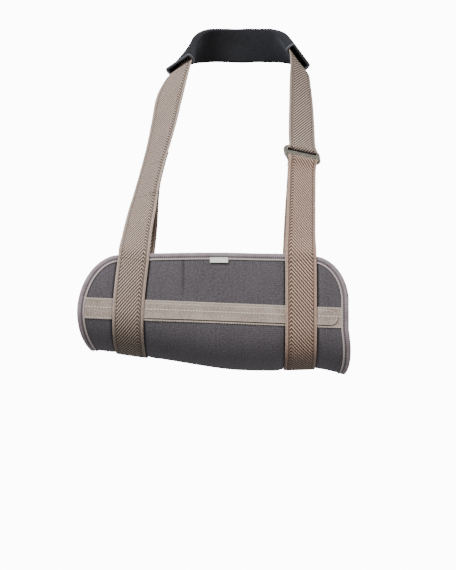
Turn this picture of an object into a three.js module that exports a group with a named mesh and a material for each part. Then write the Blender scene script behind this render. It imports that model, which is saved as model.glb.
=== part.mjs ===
// An arm sling as it hangs on its wearer: a soft panel folded into a U round the forearm, carried by
// one long webbing that loops twice round the panel, goes up over both shoulders and runs through a
// padded sleeve behind the neck.
//
// Millimetres. +X is to the right of someone who faces the wearer, +Y points from the wearer's front
// to the back, +Z is up. The origin is the middle of the neck pad's inner face, at the nape.

import * as THREE from 'three';

// Panel: the foam laminate and the U that it is folded into
const panelLength = 334;
const panelThickness = 4;
const panelShift = -32;
const troughDepth = 108;
const frontHeight = 115;
const backHeight = 108;
const panelDroop = 28;
const topEdgeCrown = 4;
const topEdgeLean = 9;
const endInset = 12;
const cornerLengthLeft = 50;
const cornerHeightLeft = 70;
const cornerLengthRight = 40;
const cornerHeightRight = 50;
const handEndFlare = 8;

// Where the panel hangs, from the nape
const napeToPanelTop = 297.5;
const napeToPanelFront = 276;

// Sewn trims
const sewnGap = 0.3;
const bindingGap = 0.4;
const bindingThickness = 1;
const bindingCover = 8;
const tapeWidth = 24.4;
const tapeThickness = 0.6;
const tapeDepthLeft = 64.4;
const tapeDepthRight = 78;
const tabWidth = 18;
const tabThickness = 0.6;
const tabEndInset = 21;
const tabLength = 250;
const labelWidth = 22;
const labelHeight = 6.5;
const labelThickness = 0.4;
const labelDepth = 5.4;
const labelOffset = 3.5;

// Webbing
const webbingWidth = 38;
const webbingThickness = 1.2;
const strapSpacing = 202;
const strapOffset = 1.5;
const strapDrift = 7;
const neckSpread = 80;
const jointLength = 58;

// Slider buckle
const buckleWidth = 51;
const buckleBar = 3.9;
const buckleCentreBar = 5.8;
const buckleSlot = 5;
const buckleSlotWidth = 41;
const buckleThickness = 2.4;
const buckleTilt = -6.4;
const buckleCornerRadius = 8;
const buckleEdgeRound = 0.6;
const threadSpare = 2;

// Neck pad
const padWidth = 47;
const padWall = 3;
const padHollow = 4.5;
const padMouth = 9;
const padEase = 1.15;
const padFlarePower = 4;

// Where pieces meet along the strand, in knots of its route: past the panel's knots for the joint and
// the buckle, past the last chest row for the mouths of the pad
const jointKnots = 3.5;
const buckleKnots = 2.75;
const leftMouthKnots = 0.05;
const rightMouthKnots = 0.95;

// How finely the soft forms are divided
const panelColumns = 23;
const wallRows = 8;
const foldRows = 18;
const tabEndSteps = 5;
const loopSteps = 42;
const jointSteps = 5;
const bridgeSteps = 8;
const chestSteps = 15;
const padSteps = 36;
const curveStep = 0.5;
const knotStep = 0.01;
const smallestMitre = 0.6;
const smallestTabShare = 0.14;

const degree = Math.PI / 180;

// Tables. Each gives shares of the named sizes above.

// The fold line under the forearm, from the elbow end to the hand end: how much of the droop it has
const foldLine = [
  { along: 0, fall: 0 },
  { along: 0.12, fall: 0.13 },
  { along: 0.24, fall: 0.33 },
  { along: 0.35, fall: 0.55 },
  { along: 0.46, fall: 0.76 },
  { along: 0.57, fall: 0.92 },
  { along: 0.7, fall: 0.96 },
  { along: 0.77, fall: 0.87 },
  { along: 0.88, fall: 0.87 },
  { along: 0.95, fall: 1.05 },
  { along: 1, fall: 1.12 },
];

// The top edges, which the straps hold up and the weight lets down: shares of the crown
const topEdge = [
  { along: 0, rise: -0.9 },
  { along: 0.15, rise: -0.55 },
  { along: 0.27, rise: -0.15 },
  { along: 0.4, rise: 0.1 },
  { along: 0.52, rise: 0.15 },
  { along: 0.65, rise: -0.1 },
  { along: 0.76, rise: -0.3 },
  { along: 0.88, rise: -1.1 },
  { along: 1, rise: -1.9 },
];

// How far the left strap strays towards the elbow on its way round the panel
const strapDriftRows = [
  { round: 0, drift: 0 },
  { round: 0.18, drift: 0.8 },
  { round: 0.3, drift: 1 },
  { round: 0.5, drift: 0.7 },
  { round: 0.8, drift: 0.2 },
  { round: 1, drift: 0 },
];

// The straps from the panel's top edge to the mouths of the neck pad.
// up: share of the height from the panel's top to the nape. back: share of the way from the panel's
// front to the nape. over: share of the way from the strap's place on the panel to the neck spread.
// turn and lift: degrees that the outward face looks away from straight ahead, to the side and up.
const leftChest = [
  { up: 0.09, back: 0.078, over: 0.05, turn: 15, lift: 20 },
  { up: 0.19, back: 0.164, over: 0.14, turn: 22, lift: 20 },
  { up: 0.275, back: 0.238, over: 0.22, turn: 32, lift: 20 },
  { up: 0.385, back: 0.333, over: 0.35, turn: 35, lift: 20 },
  { up: 0.487, back: 0.421, over: 0.48, turn: 31, lift: 20 },
  { up: 0.6, back: 0.517, over: 0.6, turn: 24, lift: 22 },
  { up: 0.7, back: 0.6, over: 0.69, turn: 18, lift: 26 },
  { up: 0.79, back: 0.672, over: 0.83, turn: 32, lift: 30 },
  { up: 0.865, back: 0.745, over: 0.99, turn: 52, lift: 32 },
];

const rightChest = [
  { up: 0.09, back: 0.078, over: 0.12, turn: 17, lift: 20 },
  { up: 0.23, back: 0.199, over: 0.36, turn: 19, lift: 20 },
  { up: 0.36, back: 0.311, over: 0.6, turn: 20, lift: 20 },
  { up: 0.46, back: 0.397, over: 0.74, turn: 22, lift: 20 },
  { up: 0.58, back: 0.5, over: 0.84, turn: 26, lift: 20 },
  { up: 0.7, back: 0.6, over: 0.92, turn: 35, lift: 24 },
  { up: 0.79, back: 0.672, over: 0.93, turn: 45, lift: 26 },
  { up: 0.865, back: 0.745, over: 0.92, turn: 56, lift: 28 },
];

// The webbing round the neck, from a pad mouth to the nape. out: share of the neck spread.
const neckRows = [
  { up: 0.915, back: 0.815, out: 0.94, turn: 72, lift: 28 },
  { up: 0.965, back: 0.89, out: 0.8, turn: 94, lift: 24 },
  { up: 0.993, back: 0.952, out: 0.57, turn: 122, lift: 16 },
  { up: 1, back: 0.988, out: 0.29, turn: 151, lift: 11 },
];

// The webbing's way over the upper bar and behind the centre bar, seen from its edge. along: place up
// the strap, where 1 is the middle of an outer bar and 0 the middle of the centre bar. proud: share
// of the height at which the webbing just clears a bar.
const upperThreadRows = [
  { along: 2.8, proud: 0.05 },
  { along: 2, proud: 0.35 },
  { along: 1.4, proud: 0.9 },
  { along: 1.1, proud: 1.08 },
  { along: 0.88, proud: 1.04 },
  { along: 0.76, proud: 0.8 },
  { along: 0.7, proud: 0.35 },
  { along: 0.66, proud: -0.1 },
  { along: 0.6, proud: -0.55 },
  { along: 0.48, proud: -0.95 },
  { along: 0.32, proud: -1.08 },
  { along: 0, proud: -1.06 },
];

// From behind the centre bar over the lower bar, outside the webbing's own end
const lowerThreadRows = [
  { along: 0, proud: -1.06 },
  { along: 0.3, proud: -1.08 },
  { along: 0.42, proud: -0.95 },
  { along: 0.5, proud: -0.5 },
  { along: 0.53, proud: 0.2 },
  { along: 0.58, proud: 1.1 },
  { along: 0.7, proud: 1.6 },
  { along: 0.88, proud: 1.82 },
  { along: 1.1, proud: 1.82 },
  { along: 1.4, proud: 1.5 },
  { along: 1.75, proud: 0.85 },
  { along: 2.2, proud: 0.3 },
  { along: 2.8, proud: 0.05 },
];

// The webbing's end: up from behind the front strand, over the lower bar from the front, and down
// behind it
const endWrapRows = [
  { along: 2.8, proud: -0.9 },
  { along: 2.3, proud: -0.75 },
  { along: 1.75, proud: -0.1 },
  { along: 1.4, proud: 0.65 },
  { along: 1.12, proud: 1.03 },
  { along: 0.88, proud: 1.03 },
  { along: 0.74, proud: 0.75 },
  { along: 0.69, proud: 0.3 },
  { along: 0.69, proud: -0.3 },
  { along: 0.76, proud: -0.85 },
  { along: 0.94, proud: -1.06 },
  { along: 1.4, proud: -1.15 },
  { along: 1.9, proud: -1.4 },
  { along: 2.4, proud: -1.7 },
];

// Helpers

function mix(a, b, share) {
  return a + (b - a) * share;
}

// Smooth value of one column of a table at a place in another
function lookUp(rows, key, column, place) {
  let index = 1;
  while (index < rows.length - 1 && rows[index][key] < place) {
    index += 1;
  }
  const low = rows[index - 1];
  const high = rows[index];
  const span = high[key] - low[key];
  const share = THREE.MathUtils.clamp((place - low[key]) / span, 0, 1);
  const before = rows[Math.max(index - 2, 0)];
  const after = rows[Math.min(index + 1, rows.length - 1)];
  const slopeLow = (high[column] - before[column]) / (high[key] - before[key]) * span;
  const slopeHigh = (after[column] - low[column]) / (after[key] - low[key]) * span;
  const square = share * share;
  const cube = square * share;
  return (2 * cube - 3 * square + 1) * low[column]
    + (cube - 2 * square + share) * slopeLow
    + (3 * square - 2 * cube) * high[column]
    + (cube - square) * slopeHigh;
}

// One closed body from points and triangles, turned so that its faces look outward
function closedBody(points, triangles) {
  let volume = 0;
  const cross = new THREE.Vector3();
  for (const [a, b, c] of triangles) {
    volume += points[a].dot(cross.crossVectors(points[b], points[c]));
  }
  const index = [];
  for (const [a, b, c] of triangles) {
    index.push(a, volume < 0 ? c : b, volume < 0 ? b : c);
  }
  const geometry = new THREE.BufferGeometry();
  geometry.setFromPoints(points);
  geometry.setIndex(index);
  geometry.computeVertexNormals();
  return geometry;
}

// A body lofted through rings of points. A closed loft meets itself, an open one gets flat ends, whose
// faces run between the two long sides of a ring.
function loft(rings, closed = false) {
  const points = rings.flat();
  const side = rings[0].length;
  const triangles = [];
  const spans = closed ? rings.length : rings.length - 1;
  for (let ring = 0; ring < spans; ring += 1) {
    const here = ring * side;
    const next = ((ring + 1) % rings.length) * side;
    for (let corner = 0; corner < side; corner += 1) {
      const other = (corner + 1) % side;
      triangles.push([here + corner, next + corner, next + other]);
      triangles.push([here + corner, next + other, here + other]);
    }
  }
  if (!closed) {
    const last = (rings.length - 1) * side;
    for (let corner = 0; corner < side / 2 - 1; corner += 1) {
      const far = side - 1 - corner;
      triangles.push([corner, corner + 1, far - 1], [corner, far - 1, far]);
      triangles.push([last + corner, last + far - 1, last + corner + 1]);
      triangles.push([last + corner, last + far, last + far - 1]);
    }
  }
  return closedBody(points, triangles);
}

// A tube with a wall: rings outside and inside, joined at both mouths
function hollowLoft(outerRings, innerRings) {
  const side = outerRings[0].length;
  const count = outerRings.length;
  const points = [...outerRings.flat(), ...innerRings.flat()];
  const innerStart = count * side;
  const triangles = [];
  for (let corner = 0; corner < side; corner += 1) {
    const other = (corner + 1) % side;
    for (let ring = 0; ring < count - 1; ring += 1) {
      const here = ring * side;
      const next = here + side;
      triangles.push([here + corner, next + corner, next + other]);
      triangles.push([here + corner, next + other, here + other]);
      const inHere = innerStart + here;
      const inNext = innerStart + next;
      triangles.push([inHere + corner, inNext + other, inNext + corner]);
      triangles.push([inHere + corner, inHere + other, inNext + other]);
    }
    const last = (count - 1) * side;
    triangles.push([corner, other, innerStart + other]);
    triangles.push([corner, innerStart + other, innerStart + corner]);
    triangles.push([last + corner, innerStart + last + other, last + other]);
    triangles.push([last + corner, innerStart + last + corner, innerStart + last + other]);
  }
  return closedBody(points, triangles);
}

// The panel's shape. A place on it is x and a distance round the U: 0 on the fold line, less than 0
// on the front and more than 0 on the back, next to the wearer.

const foldRadius = troughDepth / 2;
const foldHalf = foldRadius * Math.PI / 2;
const panelLeft = panelShift - panelLength / 2;
const panelRight = panelShift + panelLength / 2;
const foldY = -napeToPanelFront - topEdgeLean + foldRadius;
const topZ = -napeToPanelTop;

function alongPanel(x) {
  return THREE.MathUtils.clamp((x - panelLeft) / panelLength, 0, 1);
}

function foldZ(x) {
  return topZ - frontHeight - panelDroop * lookUp(foldLine, 'along', 'fall', alongPanel(x));
}

// Lengths of the front and of the back, from the fold line to the top edge
function frontLength(x) {
  const top = topZ + topEdgeCrown * lookUp(topEdge, 'along', 'rise', alongPanel(x));
  return foldHalf + top - foldZ(x) - foldRadius;
}

function backLength(x) {
  return frontLength(x) - (frontHeight - backHeight);
}

// A point of the panel's middle layer. The walls lean in a little towards their top edges.
function middleLayer(x, round) {
  const away = Math.abs(round);
  const side = Math.sign(round);
  if (away <= foldHalf) {
    const angle = round / foldRadius;
    const y = foldY + foldRadius * Math.sin(angle);
    const z = foldZ(x) + foldRadius * (1 - Math.cos(angle));
    return new THREE.Vector3(x, y, z);
  }
  const rise = away - foldHalf;
  const wall = frontLength(x) - foldHalf;
  const lean = topEdgeLean * (rise / wall) ** 2;
  return new THREE.Vector3(x, foldY + side * (foldRadius - lean), foldZ(x) + foldRadius + rise);
}

// The middle layer's directions at a place: along x, and round the U
function layerDirections(x, round) {
  return {
    alongX: middleLayer(x + curveStep, round).sub(middleLayer(x - curveStep, round)),
    alongRound: middleLayer(x, round + curveStep).sub(middleLayer(x, round - curveStep)),
  };
}

// A point at a height off the middle layer, outward from the trough
function onPanel(x, round, height) {
  const { alongX, alongRound } = layerDirections(x, round);
  const outward = alongRound.cross(alongX).normalize();
  return middleLayer(x, round).addScaledVector(outward, height);
}

// How far in the panel's end lies, at a distance from its top edge and at a place round the fold
function endShortfall(fromTop, round, cornerLength, cornerHeight, inset) {
  const into = Math.max(0, 1 - fromTop / cornerHeight);
  const corner = cornerLength * (1 - Math.sqrt(Math.max(0, 1 - into * into)));
  const angle = Math.max(0, Math.PI / 2 - Math.abs(round) / foldRadius);
  return corner + inset * Math.sin(Math.min(angle, Math.PI / 2)) ** 3;
}

function leftEnd(fromTop, round) {
  return panelLeft + endShortfall(fromTop, round, cornerLengthLeft, cornerHeightLeft, endInset);
}

function rightEnd(fromTop, round) {
  const flare = handEndFlare * Math.cos(Math.min(Math.abs(round) / foldHalf, 1) * Math.PI / 2);
  const end = panelRight - handEndFlare + flare;
  return end - endShortfall(fromTop, round, cornerLengthRight, cornerHeightRight, handEndFlare);
}

// The rows of the panel's net, from the front top edge to the back one. A row is so far from its
// top edge, as a share of the straight wall, or at an angle round the fold.
function netRows() {
  const rows = [];
  const down = (step) => 1 - Math.cos(step / wallRows * Math.PI / 2);
  for (let step = 0; step < wallRows; step += 1) {
    rows.push({ wallShare: down(step) });
  }
  for (let step = 0; step <= foldRows; step += 1) {
    rows.push({ round: foldHalf * (2 * step / foldRows - 1) });
  }
  for (let step = wallRows - 1; step >= 0; step -= 1) {
    rows.push({ wallShare: down(step), back: true });
  }
  return rows;
}

// The place on the panel of one corner of its net
function netPlace(row, share) {
  let x = mix(panelLeft, panelRight, share);
  let round = 0;
  for (let pass = 0; pass < 4; pass += 1) {
    const length = row.back ? backLength(x) : frontLength(x);
    if (row.round === undefined) {
      const fall = row.wallShare * (length - foldHalf);
      round = (row.back ? 1 : -1) * (length - fall);
    } else {
      round = row.round;
    }
    const top = round > 0 ? backLength(x) : frontLength(x);
    const fromTop = top - Math.abs(round);
    x = mix(leftEnd(fromTop, round), rightEnd(fromTop, round), share);
  }
  return { x, round };
}

const net = netRows().map((row) => {
  const places = [];
  for (let column = 0; column <= panelColumns; column += 1) {
    places.push(netPlace(row, column / panelColumns));
  }
  return places;
});

// The corners of the net that lie on the panel's edge, once round
function edgeCorners() {
  const last = net.length - 1;
  const corners = [];
  for (let column = 0; column < panelColumns; column += 1) {
    corners.push({ row: 0, column });
  }
  for (let row = 0; row < last; row += 1) {
    corners.push({ row, column: panelColumns });
  }
  for (let column = panelColumns; column > 0; column -= 1) {
    corners.push({ row: last, column });
  }
  for (let row = last; row > 0; row -= 1) {
    corners.push({ row, column: 0 });
  }
  return corners;
}

function panelGeometry() {
  const wide = panelColumns + 1;
  const layer = net.length * wide;
  const points = [];
  for (const height of [panelThickness / 2, -panelThickness / 2]) {
    for (const row of net) {
      for (const place of row) {
        points.push(onPanel(place.x, place.round, height));
      }
    }
  }
  const triangles = [];
  for (let row = 0; row < net.length - 1; row += 1) {
    for (let column = 0; column < panelColumns; column += 1) {
      const a = row * wide + column;
      const b = a + 1;
      const c = a + wide;
      const d = c + 1;
      triangles.push([a, b, d], [a, d, c]);
      triangles.push([layer + a, layer + d, layer + b], [layer + a, layer + c, layer + d]);
    }
  }
  const rim = edgeCorners().map(({ row, column }) => row * wide + column);
  rim.forEach((a, step) => {
    const b = rim[(step + 1) % rim.length];
    triangles.push([a, layer + b, b], [a, layer + a, layer + b]);
  });
  return closedBody(points, triangles);
}

// The step on the panel, in x and round the U, that goes 1 mm straight off an edge that runs one way
function offTheEdge(place, edgeX, edgeRound) {
  const { alongX, alongRound } = layerDirections(place.x, place.round);
  const skew = alongX.dot(alongRound);
  const offX = skew * edgeX + alongRound.lengthSq() * edgeRound;
  const offRound = -alongX.lengthSq() * edgeX - skew * edgeRound;
  const long = alongX.multiplyScalar(offX).addScaledVector(alongRound, offRound).length();
  return { x: offX / long, round: offRound / long };
}

// The binding: a folded tape of U section round the panel's edge
function bindingGeometry() {
  const outline = edgeCorners().map(({ row, column }) => net[row][column]);
  const inner = panelThickness / 2 + bindingGap;
  const outer = inner + bindingThickness;
  const nose = bindingGap + bindingThickness;
  const section = [
    { out: -bindingCover, height: inner },
    { out: bindingGap, height: inner },
    { out: bindingGap, height: -inner },
    { out: -bindingCover, height: -inner },
    { out: -bindingCover, height: -outer },
    { out: 0, height: -outer },
    { out: nose, height: -outer / 2 },
    { out: nose, height: outer / 2 },
    { out: 0, height: outer },
    { out: -bindingCover, height: outer },
  ];
  const rings = outline.map((place, step) => {
    const before = outline[(step + outline.length - 1) % outline.length];
    const after = outline[(step + 1) % outline.length];
    const off = offTheEdge(place, after.x - before.x, after.round - before.round);
    return section.map(({ out, height }) => (
      onPanel(place.x + out * off.x, place.round + out * off.round, height)
    ));
  });
  return loft(rings, true);
}

// Trims sewn flat on the front

const onFace = panelThickness / 2 + sewnGap;
const onTape = onFace + tapeThickness + sewnGap;
const onTab = onTape + tabThickness + sewnGap;
const onBinding = panelThickness / 2 + bindingGap + bindingThickness + sewnGap;

// Place round the front at a height, by the depth below the panel's top
function tapeMiddle(x) {
  const z = topZ - mix(tapeDepthLeft, tapeDepthRight, alongPanel(x));
  const above = z - foldZ(x) - foldRadius;
  if (above >= 0) {
    return -foldHalf - above;
  }
  return -foldHalf + foldRadius * Math.asin(Math.min(1, -above / foldRadius));
}

// A flat strip along the front, so high off the middle layer. A place is an x and half the width.
function frontStrip(places, height, thickness) {
  const shares = [-1, -0.5, 0, 0.5, 1];
  return loft(places.map(({ x, half }) => {
    const round = tapeMiddle(x);
    const under = shares.map((share) => onPanel(x, round + share * half, height));
    const over = shares.map((share) => onPanel(x, round + share * half, height + thickness));
    return [...under, ...over.reverse()];
  }));
}

// Where the tape meets the inner edge of the binding, at one end of the panel
function tapeEnd(start, end, side) {
  let x = start;
  for (let pass = 0; pass < 4; pass += 1) {
    const inward = [-1, 0, 1].map((share) => {
      const round = tapeMiddle(x) + share * tapeWidth / 2;
      return side * end(frontLength(x) + round, round);
    });
    x = side * Math.min(...inward) - side * (bindingCover + sewnGap);
  }
  return x;
}

function frontTapeGeometry() {
  const from = tapeEnd(panelLeft, leftEnd, -1);
  const to = tapeEnd(panelRight, rightEnd, 1);
  const places = [];
  for (let step = 0; step <= panelColumns; step += 1) {
    places.push({ x: mix(from, to, step / panelColumns), half: tapeWidth / 2 });
  }
  return frontStrip(places, onFace, tapeThickness);
}

// The narrower strip, which ends in a half round towards the hand
function tapeTabGeometry() {
  const halfWidth = tabWidth / 2;
  const to = panelRight - tabEndInset;
  const from = to - tabLength;
  const straight = to - halfWidth;
  const places = [];
  for (let step = 0; step < panelColumns; step += 1) {
    places.push({ x: mix(from, straight, step / panelColumns), half: halfWidth });
  }
  for (let step = 0; step <= tabEndSteps; step += 1) {
    const angle = step / tabEndSteps * Math.PI / 2;
    places.push({
      x: straight + halfWidth * Math.sin(angle),
      half: halfWidth * Math.max(Math.cos(angle), smallestTabShare),
    });
  }
  return frontStrip(places, onTape, tabThickness);
}

function labelGeometry() {
  const middle = panelShift + labelOffset;
  const outer = onBinding + labelThickness;
  return loft([-1, 0, 1].map((share) => {
    const x = middle + share * labelWidth / 2;
    const top = -frontLength(x) + labelDepth;
    return [
      onPanel(x, top, onBinding),
      onPanel(x, top + labelHeight, onBinding),
      onPanel(x, top + labelHeight, outer),
      onPanel(x, top, outer),
    ];
  }));
}

// Webbing. A station is a point on its middle line and a vector across half its width.

const halfWebbing = webbingWidth / 2;
const strapHeight = Math.max(onTab, onBinding) + webbingThickness / 2;

function strapX(side) {
  return panelShift + strapOffset + side * strapSpacing / 2;
}

// A webbing through its stations, mitred where it turns
function webbingGeometry(stations, shares = [-1, 1]) {
  const rings = stations.map((station, step) => {
    const before = stations[Math.max(step - 1, 0)].point;
    const after = stations[Math.min(step + 1, stations.length - 1)].point;
    const into = station.point.clone().sub(before).normalize();
    const on = after.clone().sub(station.point).normalize();
    const way = into.clone().add(on).normalize();
    const mitre = Math.max(way.dot(step > 0 ? into : on), smallestMitre);
    const out = way.clone().cross(station.across).setLength(webbingThickness / 2 / mitre);
    const under = shares.map((share) => (
      station.point.clone().addScaledVector(station.across, share).sub(out)
    ));
    const over = shares.map((share) => (
      station.point.clone().addScaledVector(station.across, share).add(out)
    ));
    return [...under, ...over.reverse()];
  });
  return loft(rings);
}

// The stretch round the panel, from just above its front top edge down, under and up behind
function roundPanel(side) {
  const stations = [];
  const above = 2 * (bindingGap + bindingThickness);
  for (let step = 0; step <= loopSteps; step += 1) {
    const share = step / loopSteps;
    const drift = side < 0 ? strapDrift * lookUp(strapDriftRows, 'round', 'drift', share) : 0;
    const x = strapX(side) - drift;
    const round = mix(-frontLength(x) - above, backLength(x) + above, share);
    const point = onPanel(x, round, strapHeight);
    const right = onPanel(x + halfWebbing, round, strapHeight);
    const left = onPanel(x - halfWebbing, round, strapHeight);
    const across = right.sub(left).normalize().multiplyScalar(halfWebbing);
    stations.push({ point, across });
  }
  return stations;
}

const leftLoop = roundPanel(-1);
const rightLoop = roundPanel(1);

// The front strand of both sides in one curve: from the left of the panel, over the shoulders and
// round the neck, to the right of the panel
function outwardFace(side, turn, lift) {
  const level = Math.cos(lift * degree);
  return new THREE.Vector3(
    side * Math.sin(turn * degree) * level,
    -Math.cos(turn * degree) * level,
    Math.sin(lift * degree),
  );
}

const strandStart = -(napeToPanelFront + strapHeight);
const strandNape = padWall + padEase + webbingThickness / 2;
const panelKnots = 3;

function strandKnots(side, chest) {
  const knots = [];
  const loop = side < 0 ? leftLoop : rightLoop;
  for (let index = panelKnots - 1; index >= 0; index -= 1) {
    const { point, across } = loop[index];
    const on = loop[index].point.clone().sub(loop[index + 1].point);
    knots.push({ point, face: on.cross(across).negate().normalize() });
  }
  for (const row of chest) {
    const x = mix(strapX(side), side * neckSpread, row.over);
    const y = mix(strandStart, strandNape, row.back);
    const z = mix(topZ, 0, row.up);
    knots.push({ point: new THREE.Vector3(x, y, z), face: outwardFace(side, row.turn, row.lift) });
  }
  for (const row of neckRows) {
    const y = mix(strandStart, strandNape, row.back);
    const z = mix(topZ, 0, row.up);
    const point = new THREE.Vector3(side * neckSpread * row.out, y, z);
    knots.push({ point, face: outwardFace(side, row.turn, row.lift) });
  }
  return knots;
}

const napeKnot = { point: new THREE.Vector3(0, strandNape, 0), face: outwardFace(1, 180, 10) };
const leftKnots = strandKnots(-1, leftChest);
const rightKnots = strandKnots(1, rightChest);
const allKnots = [...leftKnots, napeKnot, ...rightKnots.slice().reverse()];
const strandLine = new THREE.CatmullRomCurve3(allKnots.map((knot) => knot.point));
const strandFace = new THREE.CatmullRomCurve3(allKnots.map((knot) => knot.face));
const lastKnot = allKnots.length - 1;

// A station of the strand at a knot number, whole or between two knots
function strandAt(place) {
  const share = THREE.MathUtils.clamp(place / lastKnot, 0, 1);
  const point = strandLine.getPoint(share);
  const way = strandLine.getTangent(share);
  const face = strandFace.getPoint(share);
  const across = way.clone().cross(face).normalize().multiplyScalar(halfWebbing);
  const out = across.clone().cross(way).normalize();
  return { point, across, way, out };
}

// Knot numbers of the places where pieces meet
const leftJointTop = panelKnots + jointKnots;
const leftMouth = panelKnots + leftChest.length - 1 + leftMouthKnots;
const rightMouth = lastKnot - panelKnots - rightChest.length + 1 - rightMouthKnots;
const bucklePlace = lastKnot - panelKnots - buckleKnots;

// The knot number at a distance further along the strand
function onward(place, distance) {
  const step = Math.sign(distance) * knotStep;
  let at = place;
  let gone = 0;
  let here = strandAt(at).point;
  while (gone < Math.abs(distance) && at > 0 && at < lastKnot) {
    at += step;
    const next = strandAt(at).point;
    gone += next.distanceTo(here);
    here = next;
  }
  return at;
}

function strandStations(from, to, steps) {
  const stations = [];
  for (let step = 0; step <= steps; step += 1) {
    stations.push(strandAt(mix(from, to, step / steps)));
  }
  return stations;
}

// Slider buckle, and the webbing that runs through it

const buckleHeight = 2 * buckleBar + 2 * buckleSlot + buckleCentreBar;
const buckle = strandAt(bucklePlace);
const buckleUp = buckle.way.clone().negate();
const buckleOut = buckle.out.clone();
const buckleAcross = buckle.across.clone().negate().normalize();
if (buckleAcross.x < 0) {
  buckleAcross.negate();
}
const outerBarMiddle = buckleCentreBar / 2 + buckleSlot + buckleBar / 2;
const proudOfBar = buckleThickness / 2 + sewnGap + webbingThickness / 2;
const threadReach = outerBarMiddle * upperThreadRows[0].along + threadSpare;

// How much of the buckle's tilt the webbing's folds have, at a distance from the buckle's middle
function tiltLeft(distance) {
  const from = outerBarMiddle + buckleBar;
  return THREE.MathUtils.clamp(1 - (distance - from) / (threadReach - from), 0, 1);
}

// A webbing station beside the buckle, so far up the strap and so far out from its middle line
function buckleStation(row, side) {
  const up = side * row.along * outerBarMiddle;
  const kept = tiltLeft(Math.abs(up));
  const straight = buckle.point.clone().addScaledVector(buckleUp, up);
  const route = strandAt(onward(bucklePlace, -up));
  const slant = Math.tan(buckleTilt * degree) * kept;
  const point = route.point.lerp(straight, kept).addScaledVector(buckleOut, row.proud * proudOfBar);
  const across = buckleAcross.clone().multiplyScalar(halfWebbing);
  across.lerp(reversed(route).across, 1 - kept);
  across.addScaledVector(buckleUp, -slant * halfWebbing);
  return { point, across };
}

// The same station seen by webbing that runs the other way
function reversed(station) {
  return { point: station.point, across: station.across.clone().negate() };
}

function buckleGeometry() {
  const end = buckleHeight / 2 - buckleEdgeRound;
  const half = buckleWidth / 2 - buckleEdgeRound;
  const plate = new THREE.Shape();
  const round = buckleCornerRadius - buckleEdgeRound;
  plate.moveTo(-half + round, -end);
  plate.lineTo(half - round, -end);
  plate.absarc(half - round, -end + round, round, -Math.PI / 2, 0);
  plate.absarc(half - round, end - round, round, 0, Math.PI / 2);
  plate.absarc(-half + round, end - round, round, Math.PI / 2, Math.PI);
  plate.absarc(-half + round, -end + round, round, Math.PI, Math.PI * 1.5);
  for (const side of [-1, 1]) {
    const middle = side * (buckleCentreBar + buckleSlot) / 2;
    const tall = buckleSlot / 2 + buckleEdgeRound;
    const wide = buckleSlotWidth / 2 + buckleEdgeRound;
    const slot = new THREE.Path();
    slot.moveTo(-wide, middle - tall);
    slot.lineTo(-wide, middle + tall);
    slot.lineTo(wide, middle + tall);
    slot.lineTo(wide, middle - tall);
    slot.closePath();
    plate.holes.push(slot);
  }
  const geometry = new THREE.ExtrudeGeometry(plate, {
    depth: buckleThickness - 2 * buckleEdgeRound,
    bevelEnabled: true,
    bevelThickness: buckleEdgeRound,
    bevelSize: buckleEdgeRound,
    bevelSegments: 2,
    curveSegments: 5,
  });
  geometry.translate(0, 0, -buckleThickness / 2 + buckleEdgeRound);
  return geometry;
}

// Free strands behind the front ones

const behind = webbingThickness + sewnGap;

// The left strand behind rises from the panel and is sewn on the back of the front strand
function leftLoopGeometry() {
  const stations = [];
  const jointBottom = onward(leftJointTop, -jointLength);
  for (const front of strandStations(leftJointTop, jointBottom, jointSteps)) {
    const point = front.point.clone().addScaledVector(front.out, -behind);
    stations.push({ point, across: front.across });
  }
  stations.push(...bridge(stations[stations.length - 1], leftLoop[leftLoop.length - 1]));
  stations.push(...leftLoop.slice().reverse());
  stations.push(...strandStations(panelKnots, leftJointTop, chestSteps).slice(1));
  return webbingGeometry(stations);
}

// Stations between two others on a gentle curve, without either end
function bridge(from, to) {
  const stations = [];
  for (let step = 1; step < bridgeSteps; step += 1) {
    const share = step / bridgeSteps;
    const eased = share * share * (3 - 2 * share);
    const point = from.point.clone().lerp(to.point, share);
    point.y = mix(from.point.y, to.point.y, eased);
    const across = from.across.clone().lerp(to.across, eased).setLength(halfWebbing);
    stations.push({ point, across });
  }
  return stations;
}

function neckStrapGeometry() {
  const threadTop = onward(bucklePlace, -threadReach);
  const gap = onward(leftJointTop, sewnGap);
  const stations = [
    ...strandStations(gap, leftMouth, chestSteps).slice(0, -1),
    ...strandStations(leftMouth, rightMouth, padSteps).slice(0, -1),
    ...strandStations(rightMouth, threadTop, chestSteps),
    ...upperThreadRows.map((row) => reversed(buckleStation(row, 1))),
  ];
  stations[stations.length - 1].point.addScaledVector(buckleUp, sewnGap / 2);
  return webbingGeometry(stations, [-1, 0, 1]);
}

// The right loop: behind the centre bar, over the lower bar, round the panel, and back up to the
// lower bar, which its end wraps
function rightLoopGeometry() {
  const thread = lowerThreadRows.map((row) => buckleStation(row, -1));
  thread[0].point.addScaledVector(buckleUp, -sewnGap / 2);
  const threadBottom = onward(bucklePlace, threadReach);
  const chest = strandStations(threadBottom, lastKnot - panelKnots, chestSteps).slice(0, -1);
  const wrap = endWrapRows.map((row) => buckleStation(row, -1));
  return webbingGeometry([
    ...thread,
    ...chest.map(reversed),
    ...rightLoop,
    ...bridge(rightLoop[rightLoop.length - 1], wrap[0]),
    ...wrap,
  ]);
}

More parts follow.
